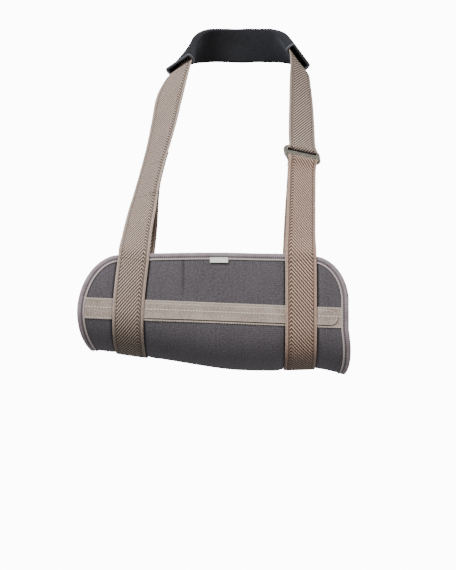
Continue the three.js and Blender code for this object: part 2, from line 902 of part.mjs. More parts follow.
// Neck pad: a flat sleeve round the webbing, snug at the nape and gaping at its mouths
function padRing(station, share, wall) {
  const gape = Math.abs(2 * share - 1) ** padFlarePower;
  const hollow = mix(padHollow, padMouth, gape);
  const floor = -webbingThickness / 2 - padEase - wall;
  const roof = -webbingThickness / 2 - padEase + hollow + wall;
  const half = (roof - floor) / 2;
  const flat = halfWebbing + padEase;
  const roundedSide = padWidth / 2 - padWall + wall - flat;
  const middle = (roof + floor) / 2;
  const across = station.across.clone().normalize();
  const ring = [];
  const add = (sideways, up) => {
    ring.push(station.point.clone().addScaledVector(across, sideways).addScaledVector(station.out, up));
  };
  for (const side of [1, -1]) {
    for (const angle of [-90, -30, 30, 90]) {
      const sideways = side * (flat + roundedSide * Math.cos(angle * degree));
      add(sideways, middle + side * half * Math.sin(angle * degree));
    }
    if (side > 0) {
      add(0, roof);
    }
  }
  for (const share of [-1, 0, 1]) {
    add(share * halfWebbing, floor);
  }
  return ring;
}

function padGeometry() {
  const outer = [];
  const inner = [];
  for (let step = 0; step <= padSteps; step += 1) {
    const share = step / padSteps;
    const station = strandAt(mix(leftMouth, rightMouth, share));
    outer.push(padRing(station, share, padWall));
    inner.push(padRing(station, share, 0));
  }
  return hollowLoft(outer, inner);
}

// Finishes

function finish(color, roughness, metalness = 0) {
  return new THREE.MeshStandardMaterial({ color, roughness, metalness });
}

const foamCloth = finish('#5a5860', 0.92);
const bindingCloth = finish('#968a91', 0.8);
const webbingWeave = finish('#a5917f', 0.85);
const tapeWeave = finish('#afa096', 0.85);
const labelCloth = finish('#e4e4e0', 0.6);
const darkPad = finish('#1e1e24', 0.9);
const bronzedMetal = finish('#8c877a', 0.45, 0.4);

const sling = new THREE.Group();

function piece(name, geometry, material) {
  const mesh = new THREE.Mesh(geometry, material);
  mesh.name = name;
  sling.add(mesh);
  return mesh;
}

piece('sling_body', panelGeometry(), foamCloth);
piece('edge_binding', bindingGeometry(), bindingCloth);
piece('front_tape', frontTapeGeometry(), tapeWeave);
piece('tape_tab', tapeTabGeometry(), tapeWeave);
piece('edge_label', labelGeometry(), labelCloth);
piece('left_strap_loop', leftLoopGeometry(), webbingWeave);
piece('neck_strap', neckStrapGeometry(), webbingWeave);
piece('right_strap_loop', rightLoopGeometry(), webbingWeave);
piece('neck_pad', padGeometry(), darkPad);

const slider = piece('slider_buckle', buckleGeometry(), bronzedMetal);
const sliderAxes = new THREE.Matrix4().makeBasis(
  buckleAcross,
  buckleUp,
  buckleAcross.clone().cross(buckleUp),
);
slider.quaternion.setFromRotationMatrix(sliderAxes);
slider.rotateZ(-buckleTilt * degree);
slider.position.copy(buckle.point);

export default sling;
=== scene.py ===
# A worn arm sling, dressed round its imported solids: the foam panel with its binding, tapes and label,
# the herringbone webbing through its slider buckle, and the padded sleeve behind the neck.

import math

import bmesh
import bpy
import numpy as np
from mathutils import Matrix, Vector


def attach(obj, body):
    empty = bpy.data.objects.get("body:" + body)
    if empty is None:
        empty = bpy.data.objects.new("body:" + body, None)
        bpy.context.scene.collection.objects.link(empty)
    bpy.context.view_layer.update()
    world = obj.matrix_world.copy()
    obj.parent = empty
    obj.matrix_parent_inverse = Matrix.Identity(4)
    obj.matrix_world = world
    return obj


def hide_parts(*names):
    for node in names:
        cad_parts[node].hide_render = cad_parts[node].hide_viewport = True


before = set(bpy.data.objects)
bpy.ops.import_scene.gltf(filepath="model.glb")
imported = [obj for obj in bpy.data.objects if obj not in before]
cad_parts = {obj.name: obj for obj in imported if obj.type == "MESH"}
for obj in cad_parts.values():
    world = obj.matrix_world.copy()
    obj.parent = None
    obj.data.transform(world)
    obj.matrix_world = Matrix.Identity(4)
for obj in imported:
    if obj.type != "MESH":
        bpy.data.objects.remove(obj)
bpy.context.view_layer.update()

# Lengths are in millimetres until a mesh is made
MM = 0.001

# Panel
PANEL_LENGTH = 334.0
PANEL_THICKNESS = 4.0
PANEL_SHIFT = -32.0
TROUGH_DEPTH = 108.0
FRONT_HEIGHT = 115.0
BACK_HEIGHT = 108.0
PANEL_DROOP = 28.0
TOP_EDGE_CROWN = 4.0
TOP_EDGE_LEAN = 9.0
END_INSET = 12.0
CORNER_LEFT = (50.0, 70.0)
CORNER_RIGHT = (40.0, 50.0)
HAND_END_FLARE = 8.0
NAPE_TO_TOP = 297.5
NAPE_TO_FRONT = 276.0

# Trims
BINDING_COVER = 8.0
BINDING_THICKNESS = 1.0
TAPE_WIDTH = 24.4
TAPE_DEPTH_LEFT = 64.4
TAPE_DEPTH_RIGHT = 78.0
TAB_WIDTH = 18.0
TAB_LENGTH = 250.0
TAB_END_INSET = 21.0
LABEL_SIZE = (22.0, 6.5)
LABEL_DEPTH = 5.4
LABEL_OFFSET = 3.5

# Webbing
WEBBING_WIDTH = 38.0
WEBBING_THICKNESS = 1.2
STRAP_SPACING = 202.0
STRAP_OFFSET = 1.5
STRAP_DRIFT = 7.0
NECK_SPREAD = 80.0
JOINT_LENGTH = 58.0
RIB_PITCH = 4.8
RIB_RELIEF = 0.24
LEFT_RIB_SLOPE = 1.4
END_SQUEEZE = 5.0
RIGHT_RIB_SLOPE = -1.2
CROSS_STITCH_PITCH = 2.4
JOINT_LOW_Z = -224.0
JOINT_HIGH_Z = -181.0
TAPE_STITCH_PITCH = 3.6
TAPE_LOOP = 3.1
TAPE_RIB = 2.4
TAPE_STITCH_RISE = 1.2
ROWS_A_RIB = 6
FOLD_SHADE_RISE = {"webbing_left": 62.0, "webbing_right": 30.0}
FOLD_SHADE_START = 4.0
FOLD_SHADE = 0.5
SLOT_SHADE_REACH = (6.8, 7.7)
SLOT_WIDENING = 0.08
SLOT_WIDENING_REACH = (8.0, 15.0)
SELVEDGE = 14.7
TEETH_START = 11.7

# Buckle
BUCKLE_WIDTH = 51.0
BUCKLE_BAR = 3.9
BUCKLE_CENTRE_BAR = 5.8
BUCKLE_SLOT = 5.0
BUCKLE_SLOT_WIDTH = 41.0
BUCKLE_THICKNESS = 2.4
BUCKLE_TILT = math.radians(-6.4)

# Pad
PAD_WIDTH = 47.0
PAD_WALL = 3.0
PAD_EASE = 1.15
PAD_FLARE_POWER = 4
PAD_HOLLOW = 4.5
PAD_MOUTH = 9.0
PIPING_RADIUS = 1.8

GAP = 0.3

FOLD_RADIUS = TROUGH_DEPTH / 2
FOLD_HALF = FOLD_RADIUS * math.pi / 2
PANEL_LEFT = PANEL_SHIFT - PANEL_LENGTH / 2
PANEL_RIGHT = PANEL_SHIFT + PANEL_LENGTH / 2
FOLD_Y = -NAPE_TO_FRONT - TOP_EDGE_LEAN + FOLD_RADIUS
TOP_Z = -NAPE_TO_TOP
HALF_WEBBING = WEBBING_WIDTH / 2

# Tables of shares of the sizes above, as the solids have them
FOLD_LINE = {
    "along": [0, 0.12, 0.24, 0.35, 0.46, 0.57, 0.7, 0.77, 0.88, 0.95, 1],
    "fall": [0, 0.13, 0.33, 0.55, 0.76, 0.92, 0.96, 0.87, 0.87, 1.05, 1.12],
}
TOP_EDGE = {
    "along": [0, 0.15, 0.27, 0.4, 0.52, 0.65, 0.76, 0.88, 1],
    "rise": [-0.9, -0.55, -0.15, 0.1, 0.15, -0.1, -0.3, -1.1, -1.9],
}
STRAP_DRIFT_ROWS = {
    "round": [0, 0.18, 0.3, 0.5, 0.8, 1],
    "drift": [0, 0.8, 1, 0.7, 0.2, 0],
}

# Up, back and over are shares, turn and lift are degrees
LEFT_CHEST = [
    (0.09, 0.078, 0.05, 15, 20),
    (0.19, 0.164, 0.14, 22, 20),
    (0.275, 0.238, 0.22, 32, 20),
    (0.385, 0.333, 0.35, 35, 20),
    (0.487, 0.421, 0.48, 31, 20),
    (0.6, 0.517, 0.6, 24, 22),
    (0.7, 0.6, 0.69, 18, 26),
    (0.79, 0.672, 0.83, 32, 30),
    (0.865, 0.745, 0.99, 52, 32),
]
RIGHT_CHEST = [
    (0.09, 0.078, 0.12, 17, 20),
    (0.23, 0.199, 0.36, 19, 20),
    (0.36, 0.311, 0.6, 20, 20),
    (0.46, 0.397, 0.74, 22, 20),
    (0.58, 0.5, 0.84, 26, 20),
    (0.7, 0.6, 0.92, 35, 24),
    (0.79, 0.672, 0.93, 45, 26),
    (0.865, 0.745, 0.92, 56, 28),
]
NECK_ROWS = [
    (0.915, 0.815, 0.94, 72, 28),
    (0.965, 0.89, 0.8, 94, 24),
    (0.993, 0.952, 0.57, 122, 16),
    (1, 0.988, 0.29, 151, 11),
]

# The webbing's way through the buckle: place up the strap in outer bars, and height in clearances
UPPER_THREAD = [
    (2.8, 0.05), (2, 0.35), (1.4, 0.9), (1.1, 1.08), (0.88, 1.04), (0.76, 0.8), (0.7, 0.35),
    (0.66, -0.1), (0.6, -0.55), (0.48, -0.95), (0.32, -1.08), (0, -1.06),
]
LOWER_THREAD = [
    (0, -1.06), (0.3, -1.08), (0.42, -0.95), (0.5, -0.5), (0.53, 0.2), (0.58, 1.1), (0.7, 1.6),
    (0.88, 1.82), (1.1, 1.82), (1.4, 1.5), (1.75, 0.85), (2.2, 0.3), (2.8, 0.05),
]
END_WRAP = [
    (2.8, -0.9), (2.3, -0.75), (1.75, -0.1), (1.4, 0.65), (1.12, 1.03), (0.88, 1.03), (0.74, 0.75),
    (0.69, 0.3), (0.69, -0.3), (0.76, -0.85), (0.94, -1.06), (1.4, -1.15), (1.9, -1.4), (2.4, -1.7),
]


# Small helpers

def mix(a, b, share):
    return a + (b - a) * share


def smooth_step(low, high, value):
    share = np.clip((np.asarray(value, float) - low) / (high - low), 0, 1)
    return share * share * (3 - 2 * share)


def look_up(table, key, column, place):
    """Smooth value of a table's column, by the cubic that the solids use."""
    keys = np.array(table[key], float)
    values = np.array(table[column], float)
    place = np.asarray(place, float)
    index = np.clip(np.searchsorted(keys, place, side="left"), 1, len(keys) - 1)
    span = keys[index] - keys[index - 1]
    share = np.clip((place - keys[index - 1]) / span, 0, 1)
    before = np.maximum(index - 2, 0)
    after = np.minimum(index + 1, len(keys) - 1)
    slope_low = (values[index] - values[before]) / (keys[index] - keys[before]) * span
    slope_high = (values[after] - values[index - 1]) / (keys[after] - keys[index - 1]) * span
    square = share * share
    cube = square * share
    return (
        (2 * cube - 3 * square + 1) * values[index - 1]
        + (cube - 2 * square + share) * slope_low
        + (3 * square - 2 * cube) * values[index]
        + (cube - square) * slope_high
    )


def unit(vectors):
    vectors = np.asarray(vectors, float)
    return vectors / np.linalg.norm(vectors, axis=-1, keepdims=True)


def bumps(x, y, scale, seed):
    """Gentle uneven swelling, from -1 to 1, that is the same on each run."""
    total = np.zeros(np.broadcast(x, y).shape)
    rng = np.random.default_rng(seed)
    for octave in range(4):
        angle = rng.uniform(0, math.pi)
        phase = rng.uniform(0, 2 * math.pi)
        wave = 2 * math.pi / (scale * rng.uniform(0.7, 1.5))
        total += np.sin(wave * (x * math.cos(angle) + y * math.sin(angle)) + phase)
    return total / 4


# The panel's shape

def along_panel(x):
    return np.clip((np.asarray(x, float) - PANEL_LEFT) / PANEL_LENGTH, 0, 1)


def fold_z(x):
    return TOP_Z - FRONT_HEIGHT - PANEL_DROOP * look_up(FOLD_LINE, "along", "fall", along_panel(x))


def front_length(x):
    top = TOP_Z + TOP_EDGE_CROWN * look_up(TOP_EDGE, "along", "rise", along_panel(x))
    return FOLD_HALF + top - fold_z(x) - FOLD_RADIUS


def back_length(x):
    return front_length(x) - (FRONT_HEIGHT - BACK_HEIGHT)


def middle_layer(x, round_):
    """Points of the panel's middle layer at x and a distance round the U, less than 0 in front."""
    x, round_ = np.broadcast_arrays(np.asarray(x, float), np.asarray(round_, float))
    away = np.abs(round_)
    side = np.sign(round_)
    angle = np.clip(round_ / FOLD_RADIUS, -math.pi / 2, math.pi / 2)
    rise = np.maximum(away - FOLD_HALF, 0)
    wall = front_length(x) - FOLD_HALF
    lean = TOP_EDGE_LEAN * (rise / wall) ** 2
    bottom = fold_z(x)
    y = FOLD_Y + FOLD_RADIUS * np.sin(angle) - side * lean
    z = bottom + FOLD_RADIUS * (1 - np.cos(angle)) + rise
    return np.stack([x, y, z], axis=-1)


def strap_middle(round_, side):
    """x of a strap's middle line on the panel."""
    base = PANEL_SHIFT + STRAP_OFFSET + side * STRAP_SPACING / 2
    if side > 0:
        return np.full(np.shape(round_), base)
    top = front_length(base)
    share = (np.asarray(round_, float) + top) / (top + back_length(base))
    return base - STRAP_DRIFT * look_up(STRAP_DRIFT_ROWS, "round", "drift", np.clip(share, 0, 1))


def crease_line(x, round_):
    """The faint upright crease beside the left strap."""
    from_top = front_length(x) + round_
    line = np.exp(-((x - PANEL_SHIFT + 39.5) / 1.6) ** 2)
    return line * smooth_step(0, 12, from_top) * (1 - smooth_step(35, 60, from_top)) * (round_ < 0)


def panel_swell(x, round_):
    """How far the soft panel stands in or out of its plain form: pressed in under the straps, full
    between them, with a faint upright crease and a few slack waves."""
    swell = 0.35 * bumps(x, round_, 85.0, 4)
    for side in (-1, 1):
        off = np.abs(x - strap_middle(round_, side))
        pressed = 1 - smooth_step(HALF_WEBBING - 3, HALF_WEBBING + 5, off)
        shoulder = np.exp(-((off - HALF_WEBBING - 9) / 7) ** 2)
        swell = swell - 0.9 * pressed + 0.5 * shoulder
    crease = crease_line(x, round_)
    full = np.exp(-((x - PANEL_SHIFT - 10) / 70) ** 2) * np.exp(-((round_ + 70) / 60) ** 2)
    return swell - 0.8 * crease + 0.8 * full


def on_panel(x, round_, height):
    """Points at a height off the panel's middle layer, outward from the trough."""
    step = 0.5
    along_x = middle_layer(x + step, round_) - middle_layer(x - step, round_)
    along_round = middle_layer(x, round_ + step) - middle_layer(x, round_ - step)
    outward = unit(np.cross(along_round, along_x))
    swell = panel_swell(x, round_)
    return middle_layer(x, round_) + outward * np.asarray(height + swell)[..., None]


def end_shortfall(from_top, round_, corner, inset):
    into = np.clip(1 - from_top / corner[1], 0, 1)
    short = corner[0] * (1 - np.sqrt(np.clip(1 - into * into, 0, 1)))
    angle = np.clip(math.pi / 2 - np.abs(round_) / FOLD_RADIUS, 0, math.pi / 2)
    return short + inset * np.sin(angle) ** 3


def left_end(from_top, round_):
    return PANEL_LEFT + end_shortfall(from_top, round_, CORNER_LEFT, END_INSET)


def right_end(from_top, round_):
    share = np.clip(np.abs(round_) / FOLD_HALF, 0, 1)
    flare = HAND_END_FLARE * np.cos(share * math.pi / 2)
    short = end_shortfall(from_top, round_, CORNER_RIGHT, HAND_END_FLARE)
    return PANEL_RIGHT - HAND_END_FLARE + flare - short


def panel_net(wall_rows, fold_rows, columns):
    """Places (x, distance round) of the panel's net, a row from end to end at each level."""
    down = 1 - np.cos(np.arange(wall_rows) / wall_rows * math.pi / 2)
    levels = [("front", share) for share in down]
    levels += [("fold", share) for share in np.linspace(-1, 1, fold_rows + 1)]
    levels += [("back", share) for share in down[::-1]]
    shares = np.linspace(0, 1, columns + 1)
    rows = []
    for where, share in levels:
        x = mix(PANEL_LEFT, PANEL_RIGHT, shares)
        for _ in range(6):
            front = front_length(x)
            back = back_length(x)
            if where == "fold":
                round_ = np.full(x.shape, FOLD_HALF * share)
            elif where == "front":
                round_ = -(front - share * (front - FOLD_HALF))
            else:
                round_ = back - share * (back - FOLD_HALF)
            from_top = np.where(round_ > 0, back, front) - np.abs(round_)
            x = mix(left_end(from_top, round_), right_end(from_top, round_), shares)
        rows.append(np.stack([x, round_], axis=-1))
    return np.array(rows)


def net_rim(net):
    """The places on the net's rim, once round, as index pairs."""
    last_row = net.shape[0] - 1
    last_column = net.shape[1] - 1
    rim = [(0, c) for c in range(last_column)]
    rim += [(r, last_column) for r in range(last_row)]
    rim += [(last_row, c) for c in range(last_column, 0, -1)]
    rim += [(r, 0) for r in range(last_row, 0, -1)]
    return rim


# Making meshes

def new_piece(name, points, faces, uv=None, attributes=None, smooth=True):
    """A mesh object in metres from points in millimetres, with a UV in metres for each point."""
    mesh = bpy.data.meshes.new(name)
    mesh.from_pydata((np.asarray(points) * MM).tolist(), [], [list(face) for face in faces])
    if uv is not None:
        layer = mesh.uv_layers.new(name="flat")
        loops = np.empty(len(mesh.loops), dtype=np.int32)
        mesh.loops.foreach_get("vertex_index", loops)
        layer.data.foreach_set("uv", (np.asarray(uv) * MM)[loops].astype(np.float32).ravel())
    for key, values in (attributes or {}).items():
        attribute = mesh.attributes.new(key, "FLOAT", "POINT")
        attribute.data.foreach_set("value", np.asarray(values, np.float32).ravel())
    mesh.polygons.foreach_set("use_smooth", [smooth] * len(mesh.polygons))
    mesh.update()
    piece = bpy.data.objects.new(name, mesh)
    bpy.context.scene.collection.objects.link(piece)
    turn_outward(piece)
    return piece


def turn_outward(piece):
    """Turns the whole closed mesh inside out if its volume comes out negative."""
    body = bmesh.new()
    body.from_mesh(piece.data)
    if body.calc_volume(signed=True) < 0:
        bmesh.ops.reverse_faces(body, faces=body.faces)
        body.to_mesh(piece.data)
    body.free()


def grid_faces(rows, columns, start=0, flip=False):
    """Quads of a grid of rows by columns points."""
    here = (np.arange(rows - 1)[:, None] * columns + np.arange(columns - 1)[None, :]).ravel() + start
    quads = [here, here + 1, here + columns + 1, here + columns]
    if flip:
        quads.reverse()
    return np.stack(quads, axis=-1)


def two_sided(name, top, under, uv, attributes=None):
    """A closed thin piece between two grids of points."""
    rows, columns = top.shape[:2]
    count = rows * columns
    points = np.concatenate([top.reshape(-1, 3), under.reshape(-1, 3)])
    faces = [grid_faces(rows, columns), grid_faces(rows, columns, count, True)]
    index = np.arange(count).reshape(rows, columns)
    rim = np.concatenate([index[0, :-1], index[:-1, -1], index[-1, :0:-1], index[:0:-1, 0]])
    after = np.roll(rim, -1)
    faces.append(np.stack([rim, rim + count, after + count, after], axis=-1))
    both = np.concatenate([uv.reshape(-1, 2)] * 2)
    doubled = {key: np.concatenate([np.ravel(v)] * 2) for key, v in (attributes or {}).items()}
    return new_piece(name, points, np.concatenate(faces), both, doubled)


def ring_loft(name, rings, uv, closed, attributes=None):
    """A body through rings of points, shape (rings, side, 3). An open one gets flat ends."""
    count, side = rings.shape[:2]
    index = np.arange(count * side).reshape(count, side)
    if closed:
        index = np.vstack([index, index[:1]])
    a = index[:-1]
    b = index[1:]
    faces = np.stack([a, b, np.roll(b, -1, axis=1), np.roll(a, -1, axis=1)], axis=-1)
    faces = faces.reshape(-1, 4).tolist()
    if not closed:
        faces.append(index[0].tolist())
        faces.append(index[-1][::-1].tolist())
    return new_piece(name, rings.reshape(-1, 3), faces, uv.reshape(-1, 2), attributes)


# Cloth pieces on the panel

def make_panel():
    """The foam panel, laid into its U from its flat net."""
    net = panel_net(50, 100, 300)
    x = net[..., 0]
    round_ = net[..., 1]
    half = PANEL_THICKNESS / 2
    top = on_panel(x, round_, half)
    under = on_panel(x, round_, -half)
    shade = 0.45 * crease_line(x, round_)
    for side in (-1, 1):
        off = np.abs(x - strap_middle(round_, side)) - HALF_WEBBING
        shade = np.maximum(shade, 0.85 * np.exp(-((off - 0.6) / 1.3) ** 2))
    piece = two_sided("panel", top, under, net, {"shade": shade})
    strips = np.abs(np.diff(net[..., 1], axis=0))[:, :-1] * np.diff(net[..., 0], axis=1)[:-1]
    return piece, strips.sum() * MM * MM


def rim_places(step):
    """Places round the panel's rim at an even step, with the direction off the edge at each."""
    net = panel_net(60, 120, 260)
    rim = np.array([net[place] for place in net_rim(net)])
    points = middle_layer(rim[:, 0], rim[:, 1])
    closed = np.vstack([points, points[:1]])
    length = np.concatenate([[0], np.cumsum(np.linalg.norm(np.diff(closed, axis=0), axis=1))])
    count = int(round(length[-1] / step))
    where = np.arange(count) / count * length[-1]
    looped = np.vstack([rim, rim[:1]])
    x = np.interp(where, length, looped[:, 0])
    round_ = np.interp(where, length, looped[:, 1])
    ahead = np.roll(x, -2) - np.roll(x, 2)
    ahead_round = np.roll(round_, -2) - np.roll(round_, 2)
    small = 0.5
    along_x = (middle_layer(x + small, round_) - middle_layer(x - small, round_))
    along_round = (middle_layer(x, round_ + small) - middle_layer(x, round_ - small))
    skew = (along_x * along_round).sum(-1)
    off_x = skew * ahead + (along_round ** 2).sum(-1) * ahead_round
    off_round = -(along_x ** 2).sum(-1) * ahead - skew * ahead_round
    long = np.linalg.norm(along_x * off_x[:, None] + along_round * off_round[:, None], axis=1)
    return x, round_, off_x / long, off_round / long, where


def make_binding():
    """The folded binding, rolled at the edge, with a sewn groove and a ridge at its inner edge."""
    x, round_, off_x, off_round, where = rim_places(1.6)
    half = PANEL_THICKNESS / 2
    cover = BINDING_COVER
    face = [
        (-cover, 0.15), (-cover - 0.1, 0.9), (-cover + 0.5, 1.25), (-cover + 1.4, 1.15),
        (-cover + 2.2, 0.8), (-cover + 2.9, 0.55), (-cover + 3.6, 0.85), (-cover + 5, 1.25),
        (-cover + 6.6, 1.3), (-cover + 7.9, 0.95), (0.65, 0.1), (1.15, -0.9),
    ]
    section = [(out, half + high) for out, high in face]
    section.append((1.3, 0.0))
    section += [(out, -half - high) for out, high in face[::-1]]
    section += [(-cover + 0.6, -half - 0.12), (-0.2, -half - 0.12), (0.12, 0.0)]
    section += [(-0.2, half + 0.12), (-cover + 0.6, half + 0.12)]
    rings = []
    pucker = 0.10 * np.sin(where / 3.3 * 2 * math.pi) + 0.12 * bumps(where, where * 0, 23.0, 8)
    for out, high in section:
        lifted = high + np.sign(high) * pucker * (abs(high) > half + 0.3)
        rings.append(on_panel(x + off_x * out, round_ + off_round * out, lifted))
    rings = np.stack(rings, axis=1)
    across = np.cumsum([0] + [math.dist(a, b) for a, b in zip(section, section[1:])])
    uv = np.stack(np.meshgrid(where, across, indexing="ij"), axis=-1)
    # The groove mask marks the sewn groove for painted shade.
    groove = [1.0 if abs(out + cover - 2.9) < 0.9 else 0.0 for out, _ in section]
    # The ridge mask marks the raised inner fold for a painted highlight.
    ridge = [1.0 if out < -cover + 2.3 else 0.0 for out, _ in section]
    masks = {
        "groove": np.tile(groove, (len(where), 1)),
        "ridge": np.tile(ridge, (len(where), 1)),
    }
    return ring_loft("binding", rings, uv, True, masks)


def tape_middle(x):
    """Distance round the front of the tape's middle line."""
    z = TOP_Z - mix(TAPE_DEPTH_LEFT, TAPE_DEPTH_RIGHT, along_panel(x))
    above = z - fold_z(x) - FOLD_RADIUS
    low = -FOLD_HALF + FOLD_RADIUS * np.arcsin(np.clip(-above / FOLD_RADIUS, 0, 1))
    return np.where(above >= 0, -FOLD_HALF - above, low)


def tape_ends():
    """x where the tape disappears under the binding, at each end of the panel."""
    ends = []
    for start, end, side in ((PANEL_LEFT, left_end, -1), (PANEL_RIGHT, right_end, 1)):
        x = start
        for _ in range(4):
            round_ = tape_middle(x)
            x = float(end(front_length(x) + round_, round_)) - side * (BINDING_COVER - 0.4)
        ends.append(x)
    return ends


def make_tape():
    """The front tape: ribbed across, with looped edges."""
    left, right = tape_ends()
    x = np.arange(left, right, 0.8)
    across = np.concatenate([
        [-1, -0.965, -0.93, -0.88], np.linspace(-0.8, -0.08, 7), [0],
        np.linspace(0.08, 0.8, 7), [0.88, 0.93, 0.965, 1],
    ])
    xs, shares = np.meshgrid(x, across, indexing="ij")
    scallop = 0.8 * np.abs(np.sin(xs / TAPE_LOOP * math.pi)) * (np.abs(shares) > 0.95)
    half = TAPE_WIDTH / 2 + scallop - 0.5
    round_ = tape_middle(xs) + shares * half
    loops = np.abs(np.sin(xs / TAPE_LOOP * math.pi))
    bead = np.exp(-((np.abs(shares) - 0.95) / 0.05) ** 2) * (0.1 + 0.4 * loops)
    ribs = 0.09 * np.sin(xs / TAPE_RIB * 2 * math.pi) * (np.abs(shares) < 0.9)
    sunk = -0.14 * np.exp(-(shares / 0.05) ** 2)
    high = PANEL_THICKNESS / 2 + 0.75 + bead + ribs + sunk
    top = on_panel(xs, round_, high)
    under = on_panel(xs, round_, PANEL_THICKNESS / 2 + 0.1 + 0 * xs)
    uv = np.stack([xs, shares * half], axis=-1)
    below_tab = shares * half - TAB_WIDTH / 2
    on_tab = smooth_step(-0.5, 0.2, below_tab) * (1 - smooth_step(0.9, 1.7, below_tab))
    on_tab = on_tab * (xs < PANEL_RIGHT - TAB_END_INSET - TAB_WIDTH / 2)
    on_tab = on_tab * smooth_step(0, 60, xs - PANEL_RIGHT + TAB_END_INSET + TAB_LENGTH)
    past = xs - PANEL_RIGHT + TAB_END_INSET + TAB_WIDTH / 2
    from_end = np.hypot(past, shares * half) - TAB_WIDTH / 2
    round_end = smooth_step(-0.6, 0.1, from_end) * (1 - smooth_step(0.5, 1.4, from_end)) * (past > 0)
    masks = {
        "edge": (0.35 + 0.65 * loops) * np.exp(-((np.abs(shares) - 0.95) / 0.07) ** 2),
        "shade": np.maximum(on_tab, 0.6 * round_end),
    }
    return two_sided("tape", top, under, uv, masks)


def make_tab():
    """The narrower strip with a rounded end, sewn on the tape."""
    right = PANEL_RIGHT - TAB_END_INSET
    left = right - TAB_LENGTH
    half = TAB_WIDTH / 2
    x = np.concatenate([
        np.arange(left, right - half, 0.9),
        right - half + half * np.sin(np.linspace(0, 0.985, 12) * math.pi / 2),
    ])
    across = np.concatenate([[-1, -0.97, -0.9, -0.82], np.linspace(-0.7, 0.7, 9), [0.82, 0.9, 0.97, 1]])
    xs, shares = np.meshgrid(x, across, indexing="ij")
    into = np.clip((xs - right + half) / half, 0, 1)
    width = half * np.sqrt(np.clip(1 - into * into, 0.015, 1))
    round_ = tape_middle(xs) + shares * width
    rim = np.minimum(half - np.abs(shares) * width, np.where(into > 0, half - np.hypot(
        into * half, shares * width), half))
    roll = 0.22 * smooth_step(0, 0.9, rim) - 0.16 * np.exp(-((rim - 1.7) / 0.5) ** 2)
    ribs = 0.05 * np.sin(xs / TAPE_RIB * 2 * math.pi)
    lift = 0.9 * smooth_step(0.35, 1, shares) * smooth_step(left, left + 30, xs)
    high = PANEL_THICKNESS / 2 + 1.15 + roll + ribs + lift
    top = on_panel(xs, round_, high)
    under = on_panel(xs, round_, PANEL_THICKNESS / 2 + 0.8 + lift)
    uv = np.stack([xs, shares * width], axis=-1)
    return two_sided("tab", top, under, uv, {"edge": np.exp(-(rim / 0.8) ** 2)})


def make_label():
    """The small bare label, folded over and caught under the binding's seam."""
    wide, tall = LABEL_SIZE
    middle = PANEL_SHIFT + LABEL_OFFSET
    x = np.linspace(middle - wide / 2, middle + wide / 2, 24)
    down = np.linspace(0, tall, 12)
    xs, downs = np.meshgrid(x, down, indexing="ij")
    round_ = -front_length(xs) + LABEL_DEPTH + downs
    curl = 0.5 * (downs / tall) ** 2 + 0.18 * np.sin((xs - middle) / 6.5) * downs / tall
    high = PANEL_THICKNESS / 2 + 1.55 + curl
    top = on_panel(xs, round_, high)
    under = on_panel(xs, round_, high - 0.35)
    return two_sided("label", top, under, np.stack([xs, round_], axis=-1))


# Webbing

def catmull_rom(points, counts):
    """Centripetal Catmull-Rom through points; counts is the number of steps between two of them."""
    points = np.asarray(points, float)
    first = 2 * points[0] - points[1]
    last = 2 * points[-1] - points[-2]
    knots = np.vstack([first, points, last])
    made = []
    for i in range(1, len(knots) - 2):
        p0, p1, p2, p3 = knots[i - 1:i + 3]
        spans = [np.linalg.norm(b - a) ** 0.5 for a, b in ((p0, p1), (p1, p2), (p2, p3))]
        middle = spans[1] if spans[1] > 0.01 else 1.0
        t1, gap, t3 = [span if span > 0.01 else middle for span in spans]
        t2 = t1 + gap
        t3 = t2 + t3
        t = np.linspace(t1, t2, counts, endpoint=False)[:, None]
        a1 = (t1 - t) / t1 * p0 + t / t1 * p1
        a2 = (t2 - t) / (t2 - t1) * p1 + (t - t1) / (t2 - t1) * p2
        a3 = (t3 - t) / (t3 - t2) * p2 + (t - t2) / (t3 - t2) * p3
        b1 = (t2 - t) / t2 * a1 + t / t2 * a2
        b2 = (t3 - t) / (t3 - t1) * a2 + (t - t1) / (t3 - t1) * a3
        made.append((t2 - t) / (t2 - t1) * b1 + (t - t1) / (t2 - t1) * b2)
    made.append(points[-1:])
    return np.vstack(made)


def interpolate(place, places, rows):
    """Rows of three numbers at places between those that the rows stand for."""
    return np.stack([np.interp(place, places, rows[:, i]) for i in range(3)], -1)


def outward_face(side, turn, lift):
    turn = math.radians(turn)
    lift = math.radians(lift)
    level = math.cos(lift)
    return np.array([side * math.sin(turn) * level, -math.cos(turn) * level, math.sin(lift)])


STRAP_HEIGHT = PANEL_THICKNESS / 2 + 2.1 + WEBBING_THICKNESS / 2
LOOP_STEPS = 150
KNOT_STEPS = 24


def round_panel(side):
    """Middle line and cross direction of the strap round the panel, from the front top edge."""
    base = PANEL_SHIFT + STRAP_OFFSET + side * STRAP_SPACING / 2
    share = np.linspace(0, 1, LOOP_STEPS + 1)
    round_ = mix(-front_length(base) - 2.8, back_length(base) + 2.8, share)
    x = strap_middle(round_, side)
    points = on_panel(x, round_, STRAP_HEIGHT + 0 * x)
    right = on_panel(x + HALF_WEBBING, round_, STRAP_HEIGHT + 0 * x)
    left = on_panel(x - HALF_WEBBING, round_, STRAP_HEIGHT + 0 * x)
    return points, unit(right - left)


